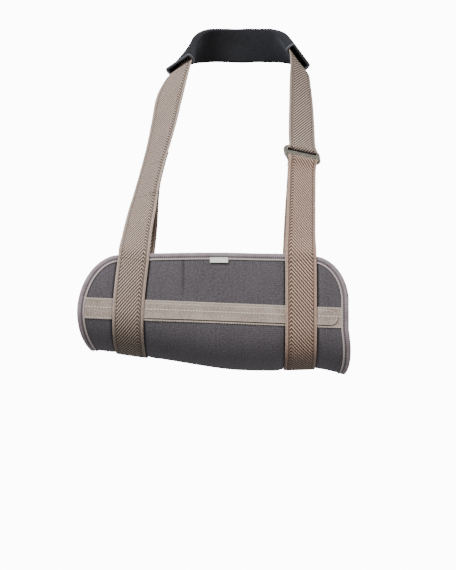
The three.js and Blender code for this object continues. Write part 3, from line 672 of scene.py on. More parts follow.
def strand_knots(side, chest):
    start = -(NAPE_TO_FRONT + STRAP_HEIGHT)
    nape = PAD_WALL + PAD_EASE + WEBBING_THICKNESS / 2
    knots = []
    faces = []
    points, across = round_panel(side)
    for index in (10, 5, 0):
        knots.append(points[index])
        on = points[index] - points[index + 1]
        faces.append(-unit(np.cross(on, across[index])))
    base = PANEL_SHIFT + STRAP_OFFSET + side * STRAP_SPACING / 2
    for up, back, over, turn, lift in chest:
        x = mix(base, side * NECK_SPREAD, over)
        knots.append(np.array([x, mix(start, nape, back), mix(TOP_Z, 0, up)]))
        faces.append(outward_face(side, turn, lift))
    for up, back, out, turn, lift in NECK_ROWS:
        knots.append(np.array([side * NECK_SPREAD * out, mix(start, nape, back), mix(TOP_Z, 0, up)]))
        faces.append(outward_face(side, turn, lift))
    return knots, faces


class Strand:
    """The webbing's run from the left of the panel over the neck to the right of the panel."""

    def __init__(self):
        left, left_faces = strand_knots(-1, LEFT_CHEST)
        right, right_faces = strand_knots(1, RIGHT_CHEST)
        nape = np.array([0, PAD_WALL + PAD_EASE + WEBBING_THICKNESS / 2, 0])
        knots = left + [nape] + right[::-1]
        faces = left_faces + [outward_face(1, 180, 10)] + right_faces[::-1]
        self.points = catmull_rom(knots, KNOT_STEPS)
        face = catmull_rom(faces, KNOT_STEPS)
        self.way = unit(np.gradient(self.points, axis=0))
        self.across = unit(np.cross(self.way, face))
        self.out = unit(np.cross(self.across, self.way))
        steps = np.linalg.norm(np.diff(self.points, axis=0), axis=1)
        self.length = np.concatenate([[0], np.cumsum(steps)])
        self.last_knot = len(knots) - 1

    def at(self, length):
        """Point, cross direction, way and outward direction at a length along the strand."""
        columns = (self.points, self.across, self.way, self.out)
        point, across, way, out = [interpolate(length, self.length, rows) for rows in columns]
        return point, unit(across), unit(way), unit(out)

    def knot_length(self, knot):
        """Length along the strand at a knot number, whole or between two knots."""
        return float(np.interp(knot * KNOT_STEPS, np.arange(len(self.length)), self.length))


strand = Strand()
PANEL_KNOTS = 3
LEFT_PANEL_TOP = strand.knot_length(2)
RIGHT_PANEL_TOP = strand.knot_length(strand.last_knot - 2)
LEFT_JOINT_TOP = strand.knot_length(PANEL_KNOTS + 3.5)
LEFT_MOUTH = strand.knot_length(PANEL_KNOTS + len(LEFT_CHEST) - 0.95)
RIGHT_MOUTH = strand.knot_length(strand.last_knot - PANEL_KNOTS - len(RIGHT_CHEST) + 0.05)
BUCKLE_LENGTH = strand.knot_length(strand.last_knot - PANEL_KNOTS - 2.75)

OUTER_BAR = BUCKLE_CENTRE_BAR / 2 + BUCKLE_SLOT + BUCKLE_BAR / 2
PROUD = BUCKLE_THICKNESS / 2 + GAP + WEBBING_THICKNESS / 2
THREAD_REACH = OUTER_BAR * UPPER_THREAD[0][0] + 2

buckle_point, buckle_across, buckle_way, buckle_out = strand.at(BUCKLE_LENGTH)
BUCKLE_ACROSS = -buckle_across
BUCKLE_UP = -buckle_way
BUCKLE_OUT = buckle_out


def thread_stations(rows, side):
    """Points and cross vectors of the webbing beside the buckle, the way the rows run."""
    rows = np.array(rows, float)
    fine = catmull_rom(np.column_stack([rows, np.zeros(len(rows))]) * 10, 5)[:, :2] / 10
    up = side * fine[:, 0] * OUTER_BAR
    start = OUTER_BAR + BUCKLE_BAR
    kept = np.clip(1 - (np.abs(up) - start) / (THREAD_REACH - start), 0, 1)[:, None]
    straight = buckle_point + up[:, None] * BUCKLE_UP
    route, route_across, _, _ = strand.at(BUCKLE_LENGTH - up)
    points = mix(route, straight, kept) + fine[:, 1:] * PROUD * BUCKLE_OUT
    across = mix(-route_across, BUCKLE_ACROSS, kept)
    across = across - math.tan(BUCKLE_TILT) * kept * BUCKLE_UP
    return points, across


def strand_run(start, end, step=2.0):
    length = np.linspace(start, end, max(2, int(abs(end - start) / step)) + 1)
    points, across, _, _ = strand.at(length)
    return points, across


def bridge_run(start, end, steps):
    """A gentle run between two stations, without either."""
    share = np.linspace(0, 1, steps + 1)[1:-1, None]
    eased = share * share * (3 - 2 * share)
    points = mix(start[0], end[0], share)
    points[:, 1] = mix(start[0][1], end[0][1], eased[:, 0])
    return points, unit(mix(start[1], end[1], eased))


def join_runs(runs):
    return np.vstack([run[0] for run in runs]), np.vstack([run[1] for run in runs])


class Ribbon:
    """A webbing's middle line with its frame, by length."""

    def __init__(self, runs):
        points, across = join_runs(runs)
        keep = np.concatenate([[True], np.linalg.norm(np.diff(points, axis=0), axis=1) > 0.05])
        points = points[keep]
        across = across[keep]
        steps = np.linalg.norm(np.diff(points, axis=0), axis=1)
        length = np.concatenate([[0], np.cumsum(steps)])
        fine = np.linspace(0, length[-1], int(length[-1] / 0.4) + 1)
        self.length = fine
        self.points = self.smoothed(interpolate(fine, length, points))
        self.across = self.smoothed(interpolate(fine, length, across))
        way = unit(np.gradient(self.points, axis=0))
        self.out = unit(np.cross(self.across, way))

    @staticmethod
    def smoothed(rows, reach=2):
        padded = np.pad(rows, ((reach, reach), (0, 0)), mode="edge")
        total = sum(padded[i:i + len(rows)] for i in range(2 * reach + 1))
        return total / (2 * reach + 1)

    def at(self, length):
        return [interpolate(length, self.length, rows) for rows in (self.points, self.across, self.out)]

    def place(self, along, sideways, high):
        point, across, out = self.at(along)
        return point + across * sideways[..., None] + out * high[..., None]


def webbing_columns():
    """Places across the webbing: selvedge, main field, a strip of reversed teeth, selvedge."""
    main = np.linspace(-14.2, 11.2, 18)
    return np.concatenate([[-19, -18.6, -16.5, -14.7], main, [11.7, 13.2, 14.7, 16.5, 18.6, 19]])


def rib_skew(sideways, slope):
    """How far a rib has run along the webbing at a place across it."""
    main = np.clip(sideways, -SELVEDGE, TEETH_START)
    teeth = np.clip(sideways - TEETH_START, 0, SELVEDGE - TEETH_START)
    return slope * (main - teeth)


def soft_ends(length, total):
    """Squeezes what runs past a webbing's ends into its last few millimetres."""
    low = END_SQUEEZE * np.exp(np.minimum(length - END_SQUEEZE, 0) / END_SQUEEZE)
    length = np.where(length < END_SQUEEZE, low, length)
    left = total - length
    high = END_SQUEEZE * np.exp(np.minimum(left - END_SQUEEZE, 0) / END_SQUEEZE)
    return np.where(left < END_SQUEEZE, total - high, length)


def make_webbing(name, ribbon, slope):
    """Herringbone webbing: the mesh's rows run along the ribs."""
    total = ribbon.length[-1]
    reach = SELVEDGE * abs(slope)
    rows = int((total + 2 * reach) / RIB_PITCH * ROWS_A_RIB)
    base = np.linspace(-reach, total + reach, rows + 1)
    along, sideways = np.meshgrid(base, webbing_columns(), indexing="ij")
    length = soft_ends(along + rib_skew(sideways, slope), total)
    phase = along / RIB_PITCH * 2 * math.pi
    field = (sideways > -14.6) & (sideways < 14.6)
    wave = np.where(field, np.cos(phase), 0)
    groove = np.exp(-((np.abs(sideways) - SELVEDGE) / 0.35) ** 2)
    groove += 0.6 * np.exp(-((sideways - TEETH_START) / 0.3) ** 2)
    edge = np.abs(sideways) > 18.8
    half = WEBBING_THICKNESS / 2 - 0.1
    relief = RIB_RELIEF * wave - 0.15 * groove - 0.25 * edge
    slack = 0.25 * bumps(length, sideways, 60.0, 11)
    middle = ribbon.place(length, 0 * length, 0 * length)
    from_buckle = np.linalg.norm(middle - buckle_point, axis=-1)
    wide = sideways * (1 + SLOT_WIDENING * (1 - smooth_step(*SLOT_WIDENING_REACH, from_buckle)))
    top = ribbon.place(length, wide, half + relief + slack)
    under = ribbon.place(length, wide, -half - RIB_RELIEF * wave + slack + 0.25 * edge)
    uv = np.stack([sideways, length], axis=-1)
    # The rib mask lays out the herringbone. It paints each rib's crest light as a painted highlight, and
    # the furrows and selvedge grooves dark as painted shade.
    rib = np.where(field, 0.5 + 0.5 * np.cos(phase), 0.7) - 0.3 * groove
    seam = np.exp(-((np.abs(sideways) - 14.9) / 0.7) ** 2)
    above_fold = middle[..., 2] - fold_z(middle[..., 0])
    low = 1 - smooth_step(FOLD_SHADE_START, FOLD_SHADE_RISE[name], above_fold)
    shade = np.maximum(1 - smooth_step(*SLOT_SHADE_REACH, from_buckle), FOLD_SHADE * low)
    return two_sided(name, top, under, uv, {"rib": rib, "shade": shade, "seam": seam})


def left_and_neck_route():
    """From the sewn end behind the left strand, down and round the panel, up, over the neck and
    behind the buckle's centre bar."""
    behind = WEBBING_THICKNESS + GAP
    joint = np.linspace(LEFT_JOINT_TOP, LEFT_JOINT_TOP - JOINT_LENGTH, 20)
    points, across, _, out = strand.at(joint)
    end = (points - out * behind, across)
    loop_points, loop_across = round_panel(-1)
    up_behind = (loop_points[::-1], loop_across[::-1])
    bridge = bridge_run((end[0][-1], end[1][-1]), (up_behind[0][0], up_behind[1][0]), 40)
    rise = strand_run(LEFT_PANEL_TOP + 1.5, BUCKLE_LENGTH - THREAD_REACH)
    thread, thread_across = thread_stations(UPPER_THREAD, 1)
    return Ribbon([end, bridge, up_behind, rise, (thread, -thread_across)])


def right_route():
    """From behind the centre bar, over the lower bar, round the panel and back up to the lower bar."""
    thread, thread_across = thread_stations(LOWER_THREAD, -1)
    down = strand_run(BUCKLE_LENGTH + THREAD_REACH, RIGHT_PANEL_TOP - 1.5)
    loop_points, loop_across = round_panel(1)
    wrap, wrap_across = thread_stations(END_WRAP, -1)
    bridge = bridge_run((loop_points[-1], -loop_across[-1]), (wrap[0], -wrap_across[0]), 40)
    return Ribbon([
        (thread, -thread_across), down, (loop_points, -loop_across), bridge, (wrap, -wrap_across),
    ])


left_ribbon = left_and_neck_route()
right_ribbon = right_route()


# Threads

def make_stitches(name, centres, ways, outs, long, wide):
    """Small raised stitches at so many centres, each lying along its way."""
    around = np.linspace(0, 2 * math.pi, 6, endpoint=False)
    rings = ((-0.5, 0.35), (-0.3, 0.9), (0, 1.0), (0.3, 0.9), (0.5, 0.35))
    points = []
    faces = []
    for centre, way, out in zip(centres, ways, outs):
        side = np.cross(way, out)
        start = len(points)
        for place, size in rings:
            for angle in around:
                ring = side * math.cos(angle) + out * math.sin(angle) * 0.7
                points.append(centre + way * place * long + ring * wide / 2 * size)
        for ring in range(len(rings) - 1):
            for turn in range(6):
                a = start + ring * 6 + turn
                b = start + ring * 6 + (turn + 1) % 6
                faces.append((a, b, b + 6, a + 6))
        faces.append(tuple(range(start + 5, start - 1, -1)))
        faces.append(tuple(range(start + 24, start + 30)))
    return new_piece(name, np.array(points), faces)


def front_place(ribbon, z):
    """Length along a ribbon where its front strand passes a level."""
    distance = np.abs(ribbon.points[:, 2] - z) + 1000 * (ribbon.out[:, 1] > -0.3)
    return float(ribbon.length[np.argmin(distance)])


def cross_row(ribbon, along, slant, pitch, low, high, rise=0.45):
    """Centres, ways and outward directions of a row of stitches across a webbing."""
    sideways = np.arange(low, high, pitch)
    length = along + slant * sideways
    high = np.full(sideways.shape, WEBBING_THICKNESS / 2 + rise - 0.35)
    centres = ribbon.place(length, sideways, high)
    _, across, out = ribbon.at(length)
    return centres, across, out


def tape_row():
    """The stitches along the middle of the tape and its tab."""
    left, right = tape_ends()
    x = np.arange(left + 2.5, right - 1.5, TAPE_STITCH_PITCH)
    round_ = tape_middle(x) - TAPE_STITCH_RISE
    on_tab = (x > PANEL_RIGHT - TAB_END_INSET - TAB_LENGTH) & (x < PANEL_RIGHT - TAB_END_INSET)
    high = PANEL_THICKNESS / 2 + np.where(on_tab, 1.5, 0.95)
    centres = on_panel(x, round_, high)
    ahead = on_panel(x + 1, round_ + 0.25, high)
    ways = unit(ahead - centres)
    up = on_panel(x, round_ - 1, high) - centres
    outs = unit(np.cross(ways, up))
    outs[outs[:, 1] > 0] *= -1
    return centres, ways, outs


# Neck pad

def pad_section(reach, low, high, points):
    """A flat section with rounded sides, as (sideways, up) pairs once round."""
    half = (high - low) / 2
    middle = (high + low) / 2
    flat = HALF_WEBBING + PAD_EASE
    section = []
    for side in (1, -1):
        for angle in np.linspace(-math.pi / 2, math.pi / 2, points):
            sideways = flat + (reach - flat) * math.cos(angle)
            section.append((side * sideways, middle + side * half * math.sin(angle)))
        for share in (0.75, 0.5, 0.25, 0, -0.25, -0.5, -0.75):
            section.append((side * share * flat, middle + side * half))
    return np.array(section)


def make_pad():
    """The padded sleeve: two walls round a flat hollow, open at both ends."""
    steps = 90
    share = np.linspace(0, 1, steps + 1)
    length = mix(LEFT_MOUTH, RIGHT_MOUTH, share)
    point, across, _, out = strand.at(length)
    gape = np.abs(2 * share - 1) ** PAD_FLARE_POWER
    hollow = mix(PAD_HOLLOW, PAD_MOUTH, gape)
    rings = {}
    for name, wall in (("outer", PAD_WALL), ("inner", 0.0)):
        made = []
        for step in range(steps + 1):
            low = -WEBBING_THICKNESS / 2 - PAD_EASE - wall
            high = -WEBBING_THICKNESS / 2 - PAD_EASE + hollow[step] + wall
            section = pad_section(PAD_WIDTH / 2 - PAD_WALL + wall, low, high, 13)
            made.append(
                point[step] + section[:, :1] * across[step] + section[:, 1:] * out[step]
            )
        rings[name] = np.array(made)
    side = rings["outer"].shape[1]
    count = (steps + 1) * side
    puff = unit(rings["outer"] - rings["inner"])
    places = np.meshgrid(length, np.arange(side) / side * 2 * PAD_WIDTH, indexing="ij")
    calm = 0.25 + 0.75 * smooth_step(0, 12, np.minimum(places[0] - length[0], length[-1] - places[0]))
    rings["outer"] = rings["outer"] + puff * (0.5 * calm * bumps(*places, 34.0, 5))[..., None]
    points = np.concatenate([rings["outer"].reshape(-1, 3), rings["inner"].reshape(-1, 3)])
    index = np.arange(count).reshape(steps + 1, side)
    a = index[:-1]
    b = index[1:]
    skin = np.stack([a, b, np.roll(b, -1, axis=1), np.roll(a, -1, axis=1)], axis=-1).reshape(-1, 4)
    lining = skin[:, ::-1] + count
    start = index[0]
    end = index[-1]
    after_start = np.roll(start, -1)
    after_end = np.roll(end, -1)
    first = np.stack([start, after_start, after_start + count, start + count], -1)
    last = np.stack([end, end + count, after_end + count, after_end], -1)
    faces = np.concatenate([skin, lining, first, last])
    run = np.arange(side) / side * 2 * PAD_WIDTH
    uv = np.stack(np.meshgrid(length, run, indexing="ij"), axis=-1).reshape(-1, 2)
    pad_piece = new_piece("pad", points, faces, np.concatenate([uv, uv]))
    rims = []
    for end, name in ((0, "pad_rim_left"), (-1, "pad_rim_right")):
        middle = (rings["outer"][end] + rings["inner"][end]) / 2
        wall = unit(rings["outer"][end] - rings["inner"][end])
        beyond = unit(np.cross(across[end], out[end]))
        turns = np.linspace(0, 2 * math.pi, 10, endpoint=False)
        tube = [middle + PIPING_RADIUS * (wall * math.cos(t) + beyond * math.sin(t)) for t in turns]
        tube = np.stack(tube, axis=1)
        rims.append(ring_loft(name, tube, np.zeros(tube.shape[:2] + (2,)), True))
    return pad_piece, rims


# Materials

class Nodes:
    """Short ways to build a node tree."""

    def __init__(self, tree):
        self.tree = tree

    def add(self, kind, **settings):
        node = self.tree.nodes.new(kind)
        for key, value in settings.items():
            setattr(node, key, value)
        return node

    def link(self, source, target):
        self.tree.links.new(source, target)

    def put(self, socket, value):
        """Sets a socket, or links it where the value is another socket."""
        if isinstance(value, bpy.types.NodeSocket):
            self.link(value, socket)
        else:
            socket.default_value = value

    def math(self, operation, *values):
        node = self.add("ShaderNodeMath", operation=operation)
        for socket, value in zip(node.inputs, values):
            self.put(socket, value)
        return node.outputs[0]

    def blend(self, factor, dark, light):
        node = self.add("ShaderNodeMix", data_type="RGBA")
        self.put(node.inputs["Factor"], factor)
        for key, value in (("A", dark), ("B", light)):
            socket = [each for each in node.inputs if each.name == key and each.type == "RGBA"][0]
            self.put(socket, value if isinstance(value, bpy.types.NodeSocket) else (*value, 1))
        return [each for each in node.outputs if each.type == "RGBA"][0]

    def noise(self, place, scale, detail=3.0, roughness=0.55):
        node = self.add("ShaderNodeTexNoise")
        self.link(place, node.inputs["Vector"])
        node.inputs["Scale"].default_value = scale
        node.inputs["Detail"].default_value = detail
        node.inputs["Roughness"].default_value = roughness
        return node.outputs[0]

    def remap(self, value, low, high, to_low=0.0, to_high=1.0):
        node = self.add("ShaderNodeMapRange")
        for key, number in zip(("Value", "From Min", "From Max", "To Min", "To Max"),
                               (value, low, high, to_low, to_high)):
            self.put(node.inputs[key], number)
        return node.outputs[0]

    def flat_place(self):
        return self.add("ShaderNodeUVMap", uv_map="flat").outputs[0]

    def object_place(self):
        return self.add("ShaderNodeTexCoord").outputs["Object"]

    def mask(self, name):
        return self.add("ShaderNodeAttribute", attribute_name=name).outputs["Fac"]


def yarn_group():
    """Crossed yarns by the flat place: a height from 0 to 1, with so many metres to a yarn."""
    tree = bpy.data.node_groups.new("yarns", "ShaderNodeTree")
    tree.interface.new_socket("Place", in_out="INPUT", socket_type="NodeSocketVector")
    for name in ("Across", "Along", "Slant"):
        tree.interface.new_socket(name, in_out="INPUT", socket_type="NodeSocketFloat")
    tree.interface.new_socket("Height", in_out="OUTPUT", socket_type="NodeSocketFloat")
    nodes = Nodes(tree)
    start = nodes.add("NodeGroupInput")
    end = nodes.add("NodeGroupOutput")
    parts = nodes.add("ShaderNodeSeparateXYZ")
    nodes.link(start.outputs["Place"], parts.inputs[0])
    slanted = nodes.math("ADD", parts.outputs[1], nodes.math(
        "MULTIPLY", parts.outputs[0], start.outputs["Slant"]))
    waves = []
    for place, pitch in ((parts.outputs[0], "Across"), (slanted, "Along")):
        turns = nodes.math("DIVIDE", place, start.outputs[pitch])
        waves.append(nodes.math("SINE", nodes.math("MULTIPLY", turns, 2 * math.pi)))
    both = nodes.math("MULTIPLY", waves[0], waves[1])
    nodes.link(nodes.math("MULTIPLY_ADD", both, 0.5, 0.5), end.inputs["Height"])
    return tree


YARNS = yarn_group()


class Cloth:
    """A cloth material under way: its nodes, its colour and its relief."""

    def __init__(self, name, roughness, sheen=0.0, sheen_tint=(1, 1, 1)):
        self.material = bpy.data.materials.new(name)
        self.material.use_nodes = True
        self.nodes = Nodes(self.material.node_tree)
        self.shader = self.material.node_tree.nodes["Principled BSDF"]
        self.shader.inputs["Roughness"].default_value = roughness
        self.shader.inputs["Sheen Weight"].default_value = sheen
        self.shader.inputs["Sheen Roughness"].default_value = 0.5
        self.shader.inputs["Sheen Tint"].default_value = (*sheen_tint, 1)
        self.shader.inputs["Specular IOR Level"].default_value = 0.25
        self.normal = None

    def yarns(self, place, across, along, slant=0.0):
        group = self.nodes.add("ShaderNodeGroup", node_tree=YARNS)
        self.nodes.link(place, group.inputs["Place"])
        group.inputs["Across"].default_value = across * MM
        group.inputs["Along"].default_value = along * MM
        group.inputs["Slant"].default_value = slant
        return group.outputs["Height"]

    def color(self, socket):
        self.nodes.link(socket, self.shader.inputs["Base Color"])

    def relief(self, height, depth, strength=1.0):
        """Adds a bump whose height from 0 to 1 stands for so many millimetres."""
        bump = self.nodes.add("ShaderNodeBump")
        bump.inputs["Strength"].default_value = strength
        bump.inputs["Distance"].default_value = depth * MM
        self.nodes.link(height, bump.inputs["Height"])
        if self.normal:
            self.nodes.link(self.normal, bump.inputs["Normal"])
        self.normal = bump.outputs[0]
        self.nodes.link(self.normal, self.shader.inputs["Normal"])


def panel_material():
    cloth = Cloth("panel_cloth", 0.88, 0.2, (0.85, 0.85, 1.0))
    nodes = cloth.nodes
    flat = nodes.flat_place()
    knit = cloth.yarns(flat, 2.6, 2.2, 0.8)
    stretched = nodes.add("ShaderNodeMapping")
    nodes.link(flat, stretched.inputs["Vector"])
    stretched.inputs["Scale"].default_value = (1.0, 0.12, 1.0)
    wales = nodes.noise(stretched.outputs[0], 330.0, 2.0)
    cloud = nodes.noise(flat, 14.0, 4.0)
    grain = nodes.noise(flat, 450.0, 2.0)
    color = nodes.blend(nodes.remap(cloud, 0.3, 0.7), PANEL_DARK, PANEL_LIGHT)
    color = nodes.blend(nodes.remap(wales, 0.3, 0.7, 0.0, 0.4), color, PANEL_WALE)
    color = nodes.blend(nodes.remap(knit, 0.15, 0.85, 0.0, 0.3), color, PANEL_LOOP)
    color = nodes.blend(nodes.remap(grain, 0.4, 0.68, 0.0, 0.6), color, PANEL_GRAIN)
    color = nodes.blend(nodes.mask("shade"), color, PANEL_SHADE)
    cloth.color(color)
    cloth.relief(wales, 0.35, 0.7)
    cloth.relief(knit, 0.3, 0.8)
    cloth.relief(grain, 0.3, 0.7)
    return cloth.material


def binding_material():
    cloth = Cloth("binding_cloth", 0.8, 0.2)
    nodes = cloth.nodes
    flat = nodes.flat_place()
    twill = cloth.yarns(flat, 1.3, 1.0, 0.5)
    soft = nodes.noise(flat, 60.0, 4.0)
    color = nodes.blend(nodes.remap(soft, 0.3, 0.7), BINDING_DARK, BINDING_LIGHT)
    # Painted highlight: the raised inner ridge is coloured lighter.
    color = nodes.blend(nodes.mask("ridge"), color, BINDING_RIDGE)
    # Painted shade in the sewn groove, darker and lighter in dashes along the stitching.
    parts = nodes.add("ShaderNodeSeparateXYZ")
    nodes.link(flat, parts.inputs[0])
    turns = nodes.math("MULTIPLY", parts.outputs[0], 2 * math.pi / (STITCH_PITCH * MM))
    stitch = nodes.remap(nodes.math("SINE", turns), -0.2, 0.2)
    groove = nodes.math("MULTIPLY", nodes.mask("groove"), nodes.math("MULTIPLY_ADD", stitch, -0.45, 0.9))
    color = nodes.blend(groove, color, BINDING_GROOVE)
    cloth.color(color)
    cloth.relief(twill, 0.18, 0.8)
    return cloth.material


def tape_material(name, dark, light):
    cloth = Cloth(name, 0.85, 0.2)
    nodes = cloth.nodes
    flat = nodes.flat_place()
    ribs = cloth.yarns(flat, TAPE_RIB, 2.0)
    soft = nodes.noise(flat, 45.0, 4.0)
    grain = nodes.noise(flat, 420.0, 2.0)
    share = nodes.math("MULTIPLY_ADD", ribs, 0.3, nodes.remap(soft, 0.3, 0.7, 0.0, 0.3))
    share = nodes.math("ADD", share, nodes.remap(grain, 0.3, 0.7, 0.0, 0.4))
    color = nodes.blend(share, dark, light)
    color = nodes.blend(nodes.math("MULTIPLY", nodes.mask("edge"), 0.6), color, TAPE_EDGE)
    color = nodes.blend(nodes.math("MULTIPLY", nodes.mask("shade"), 0.75), color, TAPE_SHADE)
    cloth.color(color)
    cloth.relief(ribs, 0.25, 0.9)
    return cloth.material


def webbing_material(name, dark, middle, light):
    """Ribs by the mesh's own mask, with a painted highlight on each rib's crest and painted shade in the
    furrows between, beaded by the yarns that cross them, with sewn lines at the edges.
    """
    cloth = Cloth(name, 0.82, 0.2)
    nodes = cloth.nodes
    flat = nodes.flat_place()
    yarn = cloth.yarns(flat, 0.95, 0.9)
    parts = nodes.add("ShaderNodeSeparateXYZ")
    nodes.link(flat, parts.inputs[0])
    bead_turns = 2 * math.pi / (BEAD_PITCH * MM)
    beads = nodes.math("SINE", nodes.math("MULTIPLY", parts.outputs[0], bead_turns))
    dashes = nodes.math("SINE", nodes.math("MULTIPLY", parts.outputs[1], bead_turns))
    rib = nodes.math("MULTIPLY_ADD", beads, 0.1, nodes.mask("rib"))
    soft = nodes.noise(flat, 45.0, 5.0)
    rib = nodes.math("ADD", rib, nodes.remap(nodes.noise(flat, 500.0, 2.0), 0.3, 0.7, -0.12, 0.12))
    low = nodes.blend(nodes.remap(rib, 0.12, 0.5), dark, middle)
    color = nodes.blend(nodes.remap(rib, 0.5, 1.0), low, light)
    color = nodes.blend(nodes.remap(soft, 0.3, 0.75, 0.0, 0.3), color, middle)
    seam = nodes.math("MULTIPLY", nodes.mask("seam"), nodes.math("MULTIPLY_ADD", dashes, 0.35, 0.35))
    color = nodes.blend(seam, color, dark)
    color = nodes.blend(nodes.mask("shade"), color, WEBBING_SHADE)
    cloth.color(color)
    cloth.relief(yarn, 0.16, 0.9)
    return cloth.material


# The pad's near-black colours are painted shade: its cloth is the panel's kind, darkened.
def pad_material():
    cloth = Cloth("pad_cloth", 0.9, 0.12, (0.8, 0.85, 1.0))
    nodes = cloth.nodes
    place = nodes.object_place()
    fuzz = nodes.noise(place, 900.0, 3.0)
    soft = nodes.noise(place, 30.0, 3.0)
    rumple = nodes.noise(place, 75.0, 3.0)
    color = nodes.blend(nodes.remap(soft, 0.3, 0.7), PAD_DARK, PAD_LIGHT)
    color = nodes.blend(nodes.remap(fuzz, 0.4, 0.75, 0.0, 0.5), color, PAD_FUZZ)
    cloth.color(color)
    cloth.relief(rumple, 2.5, 0.6)
    cloth.relief(fuzz, 0.3, 0.6)
    return cloth.material


def label_material():
    cloth = Cloth("label_cloth", 0.35)
    nodes = cloth.nodes
    flat = nodes.flat_place()
    cloth.shader.inputs["Base Color"].default_value = (*LABEL_COLOR, 1)
    cloth.shader.inputs["Specular IOR Level"].default_value = 0.6
    cloth.relief(cloth.yarns(flat, 0.6, 0.6), 0.08, 0.8)
    return cloth.material


def metal_material():
    """Dark painted metal, with fine lines along the bars."""
    made = bpy.data.materials.new("buckle_metal")
    made.use_nodes = True
    nodes = Nodes(made.node_tree)
    shader = made.node_tree.nodes["Principled BSDF"]
    shader.inputs["Metallic"].default_value = 0.5
    shader.inputs["Roughness"].default_value = 0.45
    place = nodes.object_place()
    turned = nodes.add("ShaderNodeMapping")
    nodes.link(place, turned.inputs["Vector"])
    turned.inputs["Rotation"].default_value = (0, math.radians(-11), 0)
    turned.inputs["Scale"].default_value = (0.12, 1, 1)
    lines = nodes.noise(turned.outputs[0], 900.0, 2.0)
    wear = nodes.noise(place, 160.0, 4.0)
    worn = nodes.remap(wear, 0.3, 0.7, 0, 0.4)
    share = nodes.math("MULTIPLY_ADD", nodes.remap(lines, 0.3, 0.7), 0.6, worn)
    nodes.link(nodes.blend(share, METAL_DARK, METAL_LIGHT), shader.inputs["Base Color"])
    bump = nodes.add("ShaderNodeBump")
    bump.inputs["Strength"].default_value = 0.4
    bump.inputs["Distance"].default_value = 0.2 * MM
    nodes.link(lines, bump.inputs["Height"])
    nodes.link(bump.outputs[0], shader.inputs["Normal"])
    return made


def thread_material(name, color):
    cloth = Cloth(name, 0.6, 0.1)
    cloth.shader.inputs["Base Color"].default_value = (*color, 1)
    return cloth.material


# Colours, in linear light
PANEL_DARK = (0.062, 0.055, 0.06)
PANEL_LIGHT = (0.092, 0.084, 0.095)
PANEL_WALE = (0.125, 0.115, 0.128)
PANEL_LOOP = (0.046, 0.041, 0.043)
PANEL_GRAIN = (0.15, 0.138, 0.152)
PANEL_SHADE = (0.012, 0.011, 0.013)
BINDING_DARK = (0.24, 0.195, 0.215)
BINDING_LIGHT = (0.38, 0.32, 0.345)
# Painted highlight of the raised inner ridge:
BINDING_RIDGE = (0.5, 0.43, 0.42)
# Painted shade of the sewn groove:
BINDING_GROOVE = (0.03, 0.027, 0.03)
TAPE_DARK = (0.17, 0.13, 0.105)
TAPE_LIGHT = (0.6, 0.5, 0.43)
TAPE_EDGE = (0.68, 0.6, 0.52)
TAPE_SHADE = (0.06, 0.045, 0.035)
# In each webbing, dark is painted shade in the furrows between ribs and also the colour of the sewn
# lines. Light is a painted highlight on the rib crests.
LEFT_WEBBING = {
    "dark": (0.02, 0.014, 0.01),
    "middle": (0.23, 0.17, 0.135),
    "light": (0.74, 0.58, 0.485),
}
RIGHT_WEBBING = {
    "dark": (0.022, 0.013, 0.009),
    "middle": (0.25, 0.16, 0.12),
    "light": (0.82, 0.58, 0.46),
}
WEBBING_SHADE = (0.006, 0.005, 0.005)
LABEL_COLOR = (0.78, 0.79, 0.77)
# Painted shade: the pad's colours are the panel's kind of cloth made near black.
PAD_DARK = (0.006, 0.006, 0.008)
PAD_LIGHT = (0.013, 0.013, 0.016)
PAD_FUZZ = (0.035, 0.036, 0.042)
PIPING_COLOR = (0.09, 0.095, 0.11)
METAL_DARK = (0.15, 0.14, 0.115)
METAL_LIGHT = (0.4, 0.38, 0.33)
PALE_THREAD = (0.85, 0.78, 0.7)
DARK_THREAD = (0.05, 0.045, 0.035)
STITCH_PITCH = 2.4
BEAD_PITCH = 2.3


def dress(piece, made, slot, *nodes):
    piece.data.materials.clear()
    piece.data.materials.append(made)
    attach(piece, "root")
    if nodes:
        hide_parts(*nodes)


tape_cloth = tape_material("tape_cloth", TAPE_DARK, TAPE_LIGHT)
left_cloth = webbing_material("webbing_left_cloth", **LEFT_WEBBING)
right_cloth = webbing_material("webbing_right_cloth", **RIGHT_WEBBING)
pale_thread = thread_material("pale_thread", PALE_THREAD)
dark_thread = thread_material("dark_thread", DARK_THREAD)

panel, panel_area = make_panel()
dress(panel, panel_material(), "foam_cloth", "sling_body")
binding = make_binding()
dress(binding, binding_material(), "binding_cloth", "edge_binding")
tape = make_tape()
dress(tape, tape_cloth, "tape_weave", "front_tape")
tab = make_tab()
dress(tab, tape_cloth, "tape_weave", "tape_tab")
label = make_label()
dress(label, label_material(), "label_cloth", "edge_label")
left_webbing = make_webbing("webbing_left", left_ribbon, LEFT_RIB_SLOPE)
dress(left_webbing, left_cloth, "webbing_weave", "left_strap_loop", "neck_strap")
right_webbing = make_webbing("webbing_right", right_ribbon, RIGHT_RIB_SLOPE)
dress(right_webbing, right_cloth, "webbing_weave", "right_strap_loop")
pad, pad_rims = make_pad()
dress(pad, pad_material(), "pad_cloth", "neck_pad")
piping = thread_material("piping_cloth", PIPING_COLOR)
for rim in pad_rims:
    dress(rim, piping, "pad_cloth")
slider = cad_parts["slider_buckle"]
slider.data.materials.clear()
slider.data.materials.append(metal_material())

